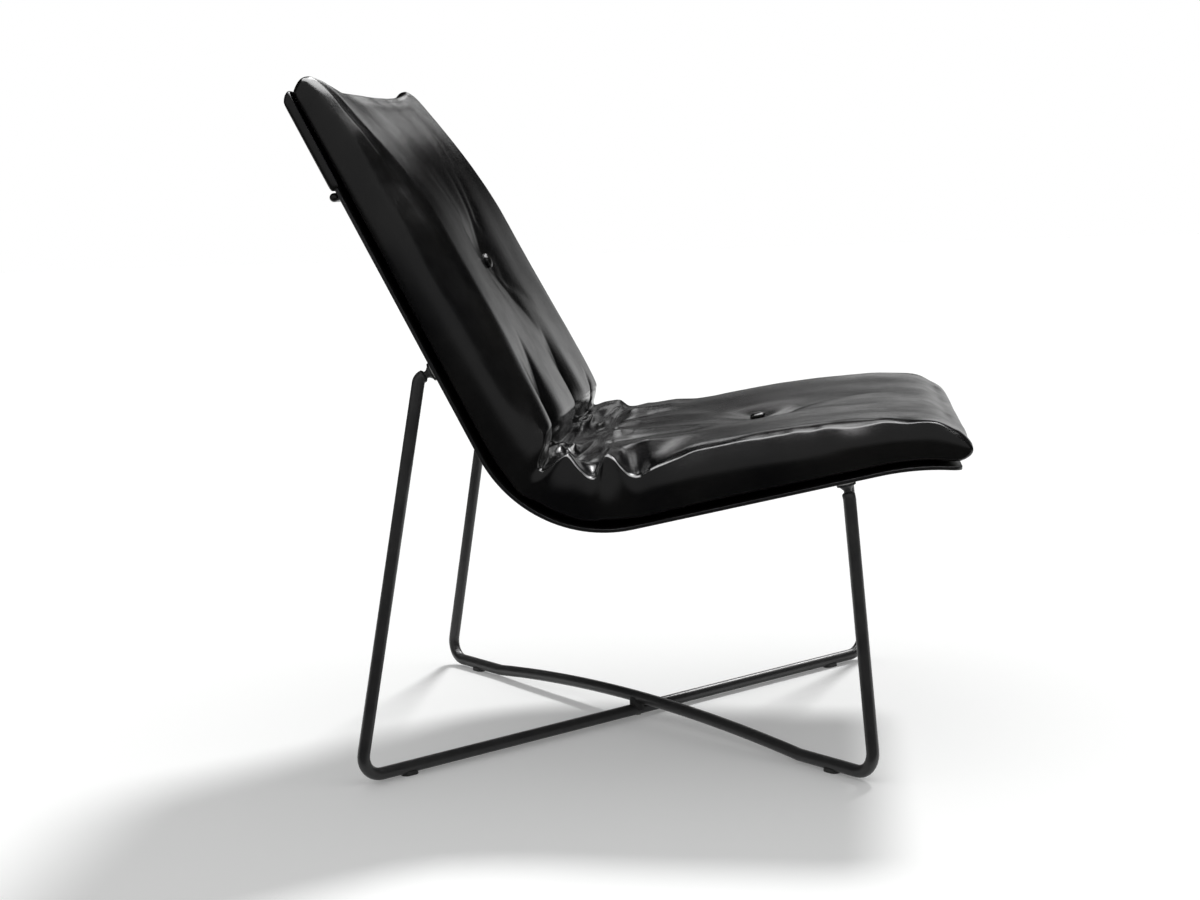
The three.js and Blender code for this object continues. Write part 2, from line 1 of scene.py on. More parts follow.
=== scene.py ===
"""Looks of a lounge chair: a bent shell on two crossed rods, under a loose buttoned leather pad.

Metres. +X is the sitter's left, -Y the front and +Z up. The origin is on the floor, under the
middle of the chair's overall plan.
"""
import logging
import math
from collections.abc import Iterable
from dataclasses import dataclass, replace
from enum import Enum
from itertools import product

import bmesh
import bpy
from mathutils import Matrix, Vector, noise


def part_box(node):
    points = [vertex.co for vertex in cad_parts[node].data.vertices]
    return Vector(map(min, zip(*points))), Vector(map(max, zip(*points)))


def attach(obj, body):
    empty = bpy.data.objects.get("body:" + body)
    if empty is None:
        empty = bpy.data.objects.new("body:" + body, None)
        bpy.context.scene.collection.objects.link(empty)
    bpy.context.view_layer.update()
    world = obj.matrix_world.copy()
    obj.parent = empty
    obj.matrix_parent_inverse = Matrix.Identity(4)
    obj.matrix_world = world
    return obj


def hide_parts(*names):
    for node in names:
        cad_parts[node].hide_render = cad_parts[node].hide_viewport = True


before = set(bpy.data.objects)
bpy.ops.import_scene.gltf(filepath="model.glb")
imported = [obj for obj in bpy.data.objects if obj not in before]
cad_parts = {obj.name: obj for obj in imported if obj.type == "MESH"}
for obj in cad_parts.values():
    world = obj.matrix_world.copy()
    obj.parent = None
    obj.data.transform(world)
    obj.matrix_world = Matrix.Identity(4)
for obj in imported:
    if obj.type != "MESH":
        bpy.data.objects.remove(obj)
LOG = logging.getLogger("chair")

BODY = "root"
X_AXIS = Vector((1, 0, 0))
Z_AXIS = Vector((0, 0, 1))
SMALL = 1e-5
DIGITS = 6
TUBE_STEPS = 6
Colour = tuple[float, float, float]
Spot = tuple[float, float, float]
Span = tuple[float, float]


def smoothstep(value: float, low: float, high: float) -> float:
    """Eases from 0 at low to 1 at high."""
    share = min(1.0, max(0.0, (value - low) / (high - low)))
    return share * share * (3 - 2 * share)


def lerp(start: float, end: float, share: float) -> float:
    """Value at a share of the way from start to end."""
    return start + (end - start) * share


def bell(distance: float, spread: float) -> float:
    """Falls from 1 at no distance to about a third at one spread."""
    return math.exp(-((distance / spread) ** 2))


def through(points: tuple[Span, ...], value: float) -> float:
    """Smooth curve through points, read at a value and level beyond their ends.

    Args:
        points: places and heights of the curve, in order.
        value: the place to read.

    Returns:
        The height there.
    """
    if value <= points[0][0]:
        return points[0][1]
    if value >= points[-1][0]:
        return points[-1][1]
    index = next(i for i, point in enumerate(points) if point[0] > value) - 1
    (x0, y0), (x1, y1) = points[index], points[index + 1]
    before, after = points[max(0, index - 1)], points[min(len(points) - 1, index + 2)]
    enter = (y1 - before[1]) / (x1 - before[0]) * (x1 - x0)
    leave = (after[1] - y0) / (after[0] - x0) * (x1 - x0)
    s = (value - x0) / (x1 - x0)
    rise = s * s * (3 - 2 * s)
    return lerp(y0, y1, rise) + s * (1 - s) * ((1 - s) * enter - s * leave)


class Slot(Enum):
    """Material slots of the chair's pieces."""

    SHELL = "shell_lacquer"
    ROD = "rod_black"
    ZINC = "zinc_steel"
    NYLON = "grey_nylon"
    PLASTIC = "black_plastic"
    RUBBER = "black_rubber"
    LEATHER = "black_leather"
    TWINE = "twine"


class End(Enum):
    """Ends of the shell that carry mounts."""

    REAR = "rear"
    FRONT = "front"


class Side(Enum):
    """The sitter's sides, by the sign of their x."""

    RIGHT = -1
    LEFT = 1


class Fitting(Enum):
    """Turned pieces at each mount."""

    BOSS = "boss"
    WASHER = "washer"


# Meshes and pieces


def keep_piece(bm: bmesh.types.BMesh, name: str, smooth: bool = True) -> bpy.types.Object:
    """Turns a bmesh into a piece that rides on the chair.

    Args:
        bm: the finished mesh, in the row frame; it is freed.
        name: the piece's name.
        smooth: whether its faces are shaded smooth.

    Returns:
        The new object, at the origin.
    """
    mesh = bpy.data.meshes.new(name)
    bm.to_mesh(mesh)
    bm.free()
    piece = bpy.data.objects.new(name, mesh)
    bpy.context.scene.collection.objects.link(piece)
    if smooth:
        mesh.shade_smooth()
    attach(piece, BODY)
    return piece


def apply_modifiers(piece: bpy.types.Object) -> None:
    """Bakes every modifier of a piece into its mesh."""
    graph = bpy.context.evaluated_depsgraph_get()
    baked = bpy.data.meshes.new_from_object(piece.evaluated_get(graph))
    piece.modifiers.clear()
    piece.data = baked
    baked.name = piece.name


def dress(piece: bpy.types.Object, material: bpy.types.Material) -> None:
    """Gives a piece its only material.

    Args:
        piece: the piece.
        material: its material.
    """
    piece.data.materials.clear()
    piece.data.materials.append(material)


def turned(profile: Iterable[Span], steps: int) -> bmesh.types.BMesh:
    """Turns an outline round the Z axis into a closed mesh.

    Args:
        profile: the outline's points, as radius and height.
        steps: number of steps round the axis.

    Returns:
        The mesh.
    """
    bm = bmesh.new()
    verts = [bm.verts.new((radius, 0, height)) for radius, height in profile]
    edges = [bm.edges.new(pair) for pair in zip(verts, verts[1:])]
    bmesh.ops.spin(
        bm,
        geom=verts + edges,
        cent=(0, 0, 0),
        axis=(0, 0, 1),
        angle=2 * math.pi,
        steps=steps,
        use_merge=True,
    )
    bmesh.ops.remove_doubles(bm, verts=bm.verts[:], dist=SMALL)
    bmesh.ops.holes_fill(bm, edges=bm.edges[:], sides=0)
    bmesh.ops.recalc_face_normals(bm, faces=bm.faces[:])
    return bm


def tube(name: str, points: Iterable[tuple[Vector, float]], radius: float) -> bpy.types.Object:
    """Sweeps a round bar along points.

    Args:
        name: the piece's name.
        points: the points and the share of the radius at each.
        radius: the bar's radius.

    Returns:
        The piece, as a mesh.
    """
    route = list(points)
    curve = bpy.data.curves.new(name, "CURVE")
    curve.dimensions = "3D"
    curve.bevel_depth = radius
    curve.bevel_resolution = TUBE_STEPS
    curve.use_fill_caps = True
    spline = curve.splines.new("POLY")
    spline.points.add(len(route) - 1)
    for control, (place, share) in zip(spline.points, route, strict=True):
        control.co = (*place, 1)
        control.radius = share
    sweep = bpy.data.objects.new(name, curve)
    bpy.context.scene.collection.objects.link(sweep)
    graph = bpy.context.evaluated_depsgraph_get()
    bm = bmesh.new()
    bm.from_mesh(bpy.data.meshes.new_from_object(sweep.evaluated_get(graph)))
    bpy.data.objects.remove(sweep)
    bmesh.ops.recalc_face_normals(bm, faces=bm.faces[:])
    return keep_piece(bm, name)


# Side view of the shell


@dataclass(frozen=True)
class SideLine:
    """Side view of the shell's upper face: straight back, round bend, straight seat, drooping lip.

    A point is given by its run down the face from the top edge and its height off the face.
    """

    lean: float = math.radians(26)
    rise: float = math.radians(11.2)
    bend_radius: float = 0.156
    axis_height: float = 0.454
    back_length: float = 0.457
    seat_length: float = 0.286
    lip_length: float = 0.094
    droop: float = math.radians(6)
    axis_y: float = 0.0

    @property
    def back_angle(self) -> float:
        """Angle of the back's normal."""
        return math.pi - self.lean

    @property
    def seat_angle(self) -> float:
        """Angle of the seat's normal."""
        return math.pi / 2 - self.rise

    @property
    def bend_end(self) -> float:
        """Run at which the bend meets the seat."""
        return self.back_length + self.bend_radius * (self.back_angle - self.seat_angle)

    @property
    def lip_start(self) -> float:
        """Run at which the seat meets the lip."""
        return self.bend_end + self.seat_length

    @property
    def lip_end(self) -> float:
        """Run at the front edge."""
        return self.lip_start + self.lip_length

    def facing(self, run: float) -> float:
        """Angle of the face's normal at a run."""
        if run < self.bend_end:
            return self.back_angle - max(0.0, run - self.back_length) / self.bend_radius
        share = min(1.0, max(0.0, (run - self.lip_start) / self.lip_length))
        return self.seat_angle + (self.rise + self.droop) * share

    def point(self, x: float, run: float, height: float) -> Vector:
        """Point in the row frame.

        Args:
            x: distance from the middle plane.
            run: way down the upper face from the top edge.
            height: height off the upper face.

        Returns:
            The point.
        """
        angle = self.facing(run)
        if run < self.lip_start:
            straight = min(0.0, run - self.back_length) if run < self.bend_end else run - self.bend_end
            out = height - self.bend_radius
            return self._from(Vector((0, self.axis_y, self.axis_height)), x, angle, out, straight)
        radius = self.lip_length / (self.rise + self.droop)
        centre = self._from(
            Vector((0, self.axis_y, self.axis_height)),
            0,
            self.seat_angle,
            -radius - self.bend_radius,
            self.seat_length,
        )
        return self._from(centre, x, angle, radius + height, max(0.0, run - self.lip_end))

    @staticmethod
    def _from(centre: Vector, x: float, angle: float, out: float, along: float) -> Vector:
        """Steps out from a centre along a normal, and along the run that is square to it."""
        cosine, sine = math.cos(angle), math.sin(angle)
        return centre + Vector((x, cosine * out - sine * along, sine * out + cosine * along))

    def normal(self, run: float) -> Vector:
        """Normal of the upper face at a run."""
        angle = self.facing(run)
        return Vector((0, math.cos(angle), math.sin(angle)))

    def onto(self, x: float, run: float, height: float, side: int = 1) -> Matrix:
        """Frame on the shell, whose Z axis is the face's normal and X axis the world's.

        Args:
            x: distance from the middle plane.
            run: way down the upper face from the top edge.
            height: height off the upper face.
            side: 1 to face up from the shell, -1 to face down.

        Returns:
            The frame.
        """
        up = self.normal(run) * side
        turn = Matrix((X_AXIS, up.cross(X_AXIS), up)).transposed().to_4x4()
        return Matrix.Translation(self.point(x, run, height)) @ turn


def placed_line(shell_thickness: float) -> SideLine:
    """Side line at the place of the frame's shell."""
    line = SideLine()
    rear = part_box("seat_shell")[1].y
    return replace(line, axis_y=rear - line.point(0, 0, -shell_thickness).y)


# Finishes


class NodeGraph:
    """A short way to write a node tree."""

    def __init__(self, tree: bpy.types.NodeTree) -> None:
        """Takes the tree to write in."""
        self.tree = tree

    def add(self, kind: str, **inputs: object) -> bpy.types.Node:
        """Adds a node.

        Args:
            kind: the node's type name.
            inputs: values or sockets by input name, with spaces as underscores; a name that is
                not an input is set as a property of the node.

        Returns:
            The node.
        """
        node = self.tree.nodes.new(kind)
        properties = {k: v for k, v in inputs.items() if k.islower() and hasattr(node, k)}
        for name, value in properties.items():
            setattr(node, name, value)
        for name, value in inputs.items():
            if name in properties:
                continue
            key = int(name[2:]) if name.startswith("in") and name[2:].isdigit() else name.replace("_", " ")
            socket = node.inputs[key]
            if isinstance(value, bpy.types.NodeSocket):
                self.tree.links.new(value, socket)
            else:
                socket.default_value = value
        return node

    def math(self, operation: str, first: object, second: object = 0.0) -> bpy.types.NodeSocket:
        """Adds a math node and returns its result."""
        return self.add("ShaderNodeMath", operation=operation, in0=first, in1=second).outputs[0]

    def span(
        self, value: object, low: float, high: float, to_low: float, to_high: float
    ) -> bpy.types.NodeSocket:
        """Maps one range of values smoothly to another and returns the result."""
        node = self.add(
            "ShaderNodeMapRange",
            interpolation_type="SMOOTHSTEP",
            Value=value,
            From_Min=low,
            From_Max=high,
            To_Min=to_low,
            To_Max=to_high,
        )
        return node.outputs[0]

    def blend(self, share: object, first: object, second: object) -> bpy.types.NodeSocket:
        """Mixes two colours and returns the result."""
        node = self.add("ShaderNodeMix", data_type="RGBA", in0=share, in6=first, in7=second)
        return node.outputs[2]


def rgba(colour: Colour) -> tuple[float, float, float, float]:
    """Colour with full alpha."""
    return (*colour, 1.0)


def new_group(
    name: str, inputs: dict[str, float], outputs: Iterable[str]
) -> tuple[bpy.types.NodeTree, NodeGraph]:
    """Starts a shader node group with named float sockets and a vector input called Place.

    Args:
        name: the group's name.
        inputs: float inputs and their values.
        outputs: float outputs.

    Returns:
        The group and a graph to write in it.
    """
    tree = bpy.data.node_groups.new(name, "ShaderNodeTree")
    tree.interface.new_socket("Place", in_out="INPUT", socket_type="NodeSocketVector")
    for title, value in inputs.items():
        socket = tree.interface.new_socket(title, in_out="INPUT", socket_type="NodeSocketFloat")
        socket.default_value = value
    for title in outputs:
        tree.interface.new_socket(title, in_out="OUTPUT", socket_type="NodeSocketFloat")
    return tree, NodeGraph(tree)


class Effects:
    """Node groups that several finishes share, each built once."""

    warp_scale: float = 90.0
    warp_detail: float = 2.0
    warp_way: float = 0.004
    pebble_edge: float = 0.28
    patch_detail: float = 5.0
    patch_roughness: float = 0.6
    patch_range: Span = (0.3, 0.7)
    _built: dict[str, bpy.types.NodeTree] = {}

    @classmethod
    def grain(cls) -> bpy.types.NodeTree:
        """Pebbled leather grain: small cells with fine pores between them."""
        if "grain" not in cls._built:
            tree, graph = new_group("leather_grain", {"Scale": 1.0}, ("Height",))
            entry = tree.nodes.new("NodeGroupInput")
            leave = tree.nodes.new("NodeGroupOutput")
            warp = graph.add(
                "ShaderNodeTexNoise",
                Vector=entry.outputs["Place"],
                Scale=cls.warp_scale,
                Detail=cls.warp_detail,
            )
            place = graph.add("ShaderNodeVectorMath", operation="MULTIPLY_ADD", in0=warp.outputs["Color"])
            place.inputs[1].default_value = (cls.warp_way,) * 3
            tree.links.new(entry.outputs["Place"], place.inputs[2])
            cells = graph.add(
                "ShaderNodeTexVoronoi",
                feature="DISTANCE_TO_EDGE",
                Vector=place.outputs[0],
                Scale=entry.outputs["Scale"],
            )
            pebble = graph.span(cells.outputs["Distance"], 0.0, cls.pebble_edge, 0.0, 1.0)
            tree.links.new(pebble, leave.inputs["Height"])
            cls._built["grain"] = tree
        return cls._built["grain"]

    @classmethod
    def patches(cls) -> bpy.types.NodeTree:
        """Soft uneven patches, for sheen that rubs and handles unevenly."""
        if "patches" not in cls._built:
            tree, graph = new_group("soft_patches", {"Scale": 1.0, "Low": 0.0, "High": 1.0}, ("Value",))
            entry = tree.nodes.new("NodeGroupInput")
            leave = tree.nodes.new("NodeGroupOutput")
            cloud = graph.add(
                "ShaderNodeTexNoise",
                Vector=entry.outputs["Place"],
                Scale=entry.outputs["Scale"],
                Detail=cls.patch_detail,
                Roughness=cls.patch_roughness,
            )
            share = graph.span(cloud.outputs["Fac"], *cls.patch_range, 0.0, 1.0)
            wide = graph.math("SUBTRACT", entry.outputs["High"], entry.outputs["Low"])
            value = graph.math("MULTIPLY", share, wide)
            tree.links.new(graph.math("ADD", value, entry.outputs["Low"]), leave.inputs["Value"])
            cls._built["patches"] = tree
        return cls._built["patches"]


class Finish:
    """Common parts of every finish."""

    name: str

    def start(self) -> tuple[bpy.types.Material, NodeGraph, bpy.types.Node, bpy.types.NodeSocket]:
        """Makes the material with its shader and a coordinate on the object.

        Returns:
            The material, its graph, the Principled shader and the Object coordinate.
        """
        material = bpy.data.materials.new(self.name)
        material.use_nodes = True
        tree = material.node_tree
        tree.nodes.clear()
        graph = NodeGraph(tree)
        shader = graph.add("ShaderNodeBsdfPrincipled")
        graph.add("ShaderNodeOutputMaterial", Surface=shader.outputs[0])
        place = graph.add("ShaderNodeTexCoord").outputs["Object"]
        return material, graph, shader, place

    @staticmethod
    def use(
        graph: NodeGraph, tree: bpy.types.NodeTree, place: object, **values: float
    ) -> bpy.types.NodeSocket:
        """Places a shared effect in a material.

        Args:
            graph: the material's graph.
            tree: the effect's group.
            place: the coordinate that the effect reads.
            values: the effect's own values by input name.

        Returns:
            The effect's first output.
        """
        node = graph.tree.nodes.new("ShaderNodeGroup")
        node.node_tree = tree
        graph.tree.links.new(place, node.inputs["Place"])
        for title, value in values.items():
            node.inputs[title].default_value = value
        return node.outputs[0]


@dataclass(frozen=True)
class Leather(Finish):
    """Semi-gloss black leather with a fine grain and, where creased, long creases along its pattern."""

    name: str = "black_leather"
    dark: Colour = (0.0035, 0.0035, 0.0040)
    worn: Colour = (0.0080, 0.0078, 0.0075)
    wear_scale: float = 9.0
    smooth: float = 0.15
    dull: float = 0.23
    sheen_scale: float = 17.0
    specular: float = 0.4
    grain_scale: float = 620.0
    grain_height: float = 0.00003
    grain_strength: float = 0.6
    creased: bool = False
    crease_scale: Spot = (52.0, 5.5, 1.0)
    crease_wander: float = 0.6
    crease_width: float = 0.16
    crease_height: float = 0.00003

    def build(self) -> bpy.types.Material:
        """Builds the material; a creased one reads the piece's flat pattern."""
        material, graph, shader, place = self.start()
        link = graph.tree.links.new
        wear = self.use(graph, Effects.patches(), place, Scale=self.wear_scale)
        link(graph.blend(wear, rgba(self.dark), rgba(self.worn)), shader.inputs["Base Color"])
        sheen = self.use(
            graph, Effects.patches(), place, Scale=self.sheen_scale, Low=self.smooth, High=self.dull
        )
        link(sheen, shader.inputs["Roughness"])
        shader.inputs["Specular IOR Level"].default_value = self.specular
        grain = self.use(graph, Effects.grain(), place, Scale=self.grain_scale)
        bump = graph.add(
            "ShaderNodeBump", Strength=self.grain_strength, Distance=self.grain_height, Height=grain
        )
        if self.creased:
            coarse = graph.add(
                "ShaderNodeBump", Strength=1.0, Distance=self.crease_height, Height=self._creases(graph)
            )
            link(coarse.outputs[0], bump.inputs["Normal"])
        link(bump.outputs[0], shader.inputs["Normal"])
        return material

    def _creases(self, graph: NodeGraph) -> bpy.types.NodeSocket:
        """Height of long shallow creases that run along the piece's flat pattern.

        Args:
            graph: the material's graph.

        Returns:
            The height, from 0 in a crease to 1 beside it.
        """
        flat = graph.add("ShaderNodeUVMap", uv_map="flat").outputs[0]
        lie = graph.add("ShaderNodeMapping", Vector=flat, Scale=self.crease_scale).outputs[0]
        long = graph.add(
            "ShaderNodeTexNoise", Vector=lie, Scale=1.0, Detail=1.0, Distortion=self.crease_wander
        )
        ridge = graph.math("ABSOLUTE", graph.math("SUBTRACT", long.outputs["Fac"], 0.5))
        return graph.span(ridge, 0.0, self.crease_width, 0.0, 1.0)


@dataclass(frozen=True)
class Satin(Finish):
    """Painted or plated surface with an uneven satin sheen and a fine texture."""

    name: str
    colour: Colour
    tint: Colour
    smooth: float
    dull: float
    metallic: float = 0.0
    patch_scale: float = 30.0
    sheen_ratio: float = 2.3
    texture_scale: float = 900.0
    texture_detail: float = 2.0
    texture_height: float = 0.00003
    texture_strength: float = 0.5

    def build(self) -> bpy.types.Material:
        """Builds the material."""
        material, graph, shader, place = self.start()
        link = graph.tree.links.new
        cloud = self.use(graph, Effects.patches(), place, Scale=self.patch_scale)
        link(graph.blend(cloud, rgba(self.colour), rgba(self.tint)), shader.inputs["Base Color"])
        sheen = self.use(
            graph,
            Effects.patches(),
            place,
            Scale=self.sheen_ratio * self.patch_scale,
            Low=self.smooth,
            High=self.dull,
        )
        link(sheen, shader.inputs["Roughness"])
        shader.inputs["Metallic"].default_value = self.metallic
        speck = graph.add(
            "ShaderNodeTexNoise", Vector=place, Scale=self.texture_scale, Detail=self.texture_detail
        )
        bump = graph.add(
            "ShaderNodeBump",
            Strength=self.texture_strength,
            Distance=self.texture_height,
            Height=speck.outputs["Fac"],
        )
        link(bump.outputs[0], shader.inputs["Normal"])
        return material


FINISHES: dict[Slot, Finish] = {
    Slot.LEATHER: Leather(),
    Slot.ROD: Satin("rod_black", (0.030, 0.030, 0.030), (0.022, 0.022, 0.023), smooth=0.30, dull=0.42),
    Slot.SHELL: Satin("shell_lacquer", (0.008, 0.008, 0.009), (0.012, 0.012, 0.012), smooth=0.3, dull=0.42),
    Slot.ZINC: Satin(
        "zinc_steel", (0.55, 0.54, 0.52), (0.45, 0.44, 0.42), smooth=0.28, dull=0.4, metallic=1.0
    ),
    Slot.NYLON: Satin("grey_nylon", (0.42, 0.42, 0.41), (0.36, 0.36, 0.35), smooth=0.4, dull=0.55),
    Slot.PLASTIC: Satin("black_plastic", (0.012, 0.012, 0.012), (0.02, 0.02, 0.02), smooth=0.4, dull=0.55),
    Slot.RUBBER: Satin("black_rubber", (0.010, 0.010, 0.010), (0.018, 0.018, 0.018), smooth=0.6, dull=0.75),
    Slot.TWINE: Satin("twine", (0.30, 0.27, 0.21), (0.38, 0.34, 0.27), smooth=0.8, dull=0.95),
}
CREASED_LEATHER = Leather(name="creased_leather", creased=True)
NODE_SLOTS = {
    "screw": Slot.ZINC,
    "glide": Slot.PLASTIC,
    "saddle": Slot.RUBBER,
    "tie": Slot.TWINE,
    "anchor": Slot.PLASTIC,
}


# Shell


@dataclass
class Shell:
    """One sheet bent along the side line, with rounded corners."""

    line: SideLine
    thickness: float = 0.004
    width: float = 0.590
    corner: float = 0.014
    corner_steps: int = 8
    edge: float = 0.0006
    edge_steps: int = 2
    edge_angle: float = 1.2
    along: int = 150

    def build(self) -> bpy.types.Object:
        """Builds the sheet in place of the frame's."""
        bm = bmesh.new()
        length = self.line.lip_end
        outline = bmesh.ops.create_grid(bm, x_segments=1, y_segments=1, size=0.5)["verts"]
        bmesh.ops.scale(bm, vec=(self.width, length, 1), verts=outline)
        bmesh.ops.translate(bm, vec=(0, length / 2, 0), verts=outline)
        bmesh.ops.bevel(
            bm,
            geom=outline,
            offset=self.corner,
            affect="VERTICES",
            segments=self.corner_steps,
            profile=0.5,
            material=-1,
        )
        for index in range(1, self.along):
            run = length * index / self.along
            bmesh.ops.bisect_plane(
                bm, geom=bm.verts[:] + bm.edges[:] + bm.faces[:], plane_co=(0, run, 0), plane_no=(0, 1, 0)
            )
        for vert in bm.verts:
            vert.co = self.line.point(vert.co.x, vert.co.y, 0)
        bmesh.ops.recalc_face_normals(bm, faces=bm.faces[:])
        if sum((face.normal for face in bm.faces), Vector()).z < 0:
            bmesh.ops.reverse_faces(bm, faces=bm.faces[:])
        bmesh.ops.solidify(bm, geom=bm.faces[:], thickness=self.thickness)
        rim = [e for e in bm.edges if len(e.link_faces) == 2 and e.calc_face_angle(0) > self.edge_angle]
        bmesh.ops.bevel(
            bm,
            geom=rim,
            offset=self.edge,
            affect="EDGES",
            segments=self.edge_steps,
            profile=0.5,
            material=-1,
        )
        piece = keep_piece(bm, "bent_shell")
        piece.modifiers.new("even shading", "WEIGHTED_NORMAL").keep_sharp = True
        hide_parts("seat_shell")
        return piece


# Pad


@dataclass(frozen=True)
class Cloth:
    """How the pad's skin behaves while it settles."""

    pressure: float = 3.0
    frames: int = 12
    quality: int = 6
    mass: float = 0.3
    stretch: float = 40.0
    squeeze: float = 40.0
    shear: float = 12.0
    bend: float = 12.0
    damping: float = 12.0
    air: float = 4.0
    cap: float = 0.004
    evening: int = 8


@dataclass(frozen=True)
class Fold:
    """A ridge, or a groove where it is negative, along a path of (x, run) points on the pad.

    It rises over the first share of its path and fades to end_share of its lift at the end.
    """

    path: tuple[Span, ...]
    lift: float
    width: float
    end_share: float = 0.0
    rise: float = 0.0
    reach: float = 6.0
    steepness: float = 1.2

    def near(self, x: float, run: float) -> bool:
        """Whether a point lies within reach of the path's box."""
        far = self.reach * self.width
        xs, runs = zip(*self.path)
        return min(xs) - far < x < max(xs) + far and min(runs) - far < run < max(runs) + far

    def at(self, x: float, run: float) -> float:
        """Lift at a point.

        Args:
            x: distance from the middle plane.
            run: way down the side line.

        Returns:
            The lift, which is highest on the path.
        """
        if not self.near(x, run):
            return 0.0
        best, share = math.inf, 0.0
        spans = len(self.path) - 1
        for index in range(spans):
            (x0, r0), (x1, r1) = self.path[index], self.path[index + 1]
            wide, long = x1 - x0, r1 - r0
            along = ((x - x0) * wide + (run - r0) * long) / (wide * wide + long * long)
            along = min(1.0, max(0.0, along))
            away = math.hypot(x - x0 - along * wide, run - r0 - along * long)
            if away < best:
                best, share = away, (index + along) / spans
        ebb = 1 / (1 + self.reach**2)
        form = max(0.0, (1 / (1 + (best / self.width) ** 2) - ebb) / (1 - ebb)) ** self.steepness
        grown = smoothstep(share, 0.0, self.rise) if self.rise else 1.0
        return self.lift * form * grown * lerp(1.0, self.end_share, share)


@dataclass(frozen=True)
class Rim:
    """Scalloped edge of the pad's upper face on one side: stations of (run, way in, drop)."""

    side: int
    stations: tuple[Spot, ...]

    def at(self, run: float) -> Span:
        """Way in from the side and drop below the upper face, at a run."""
        inward, drop = (through(tuple((s[0], s[i]) for s in self.stations), run) for i in (1, 2))
        return max(0.0, inward), drop


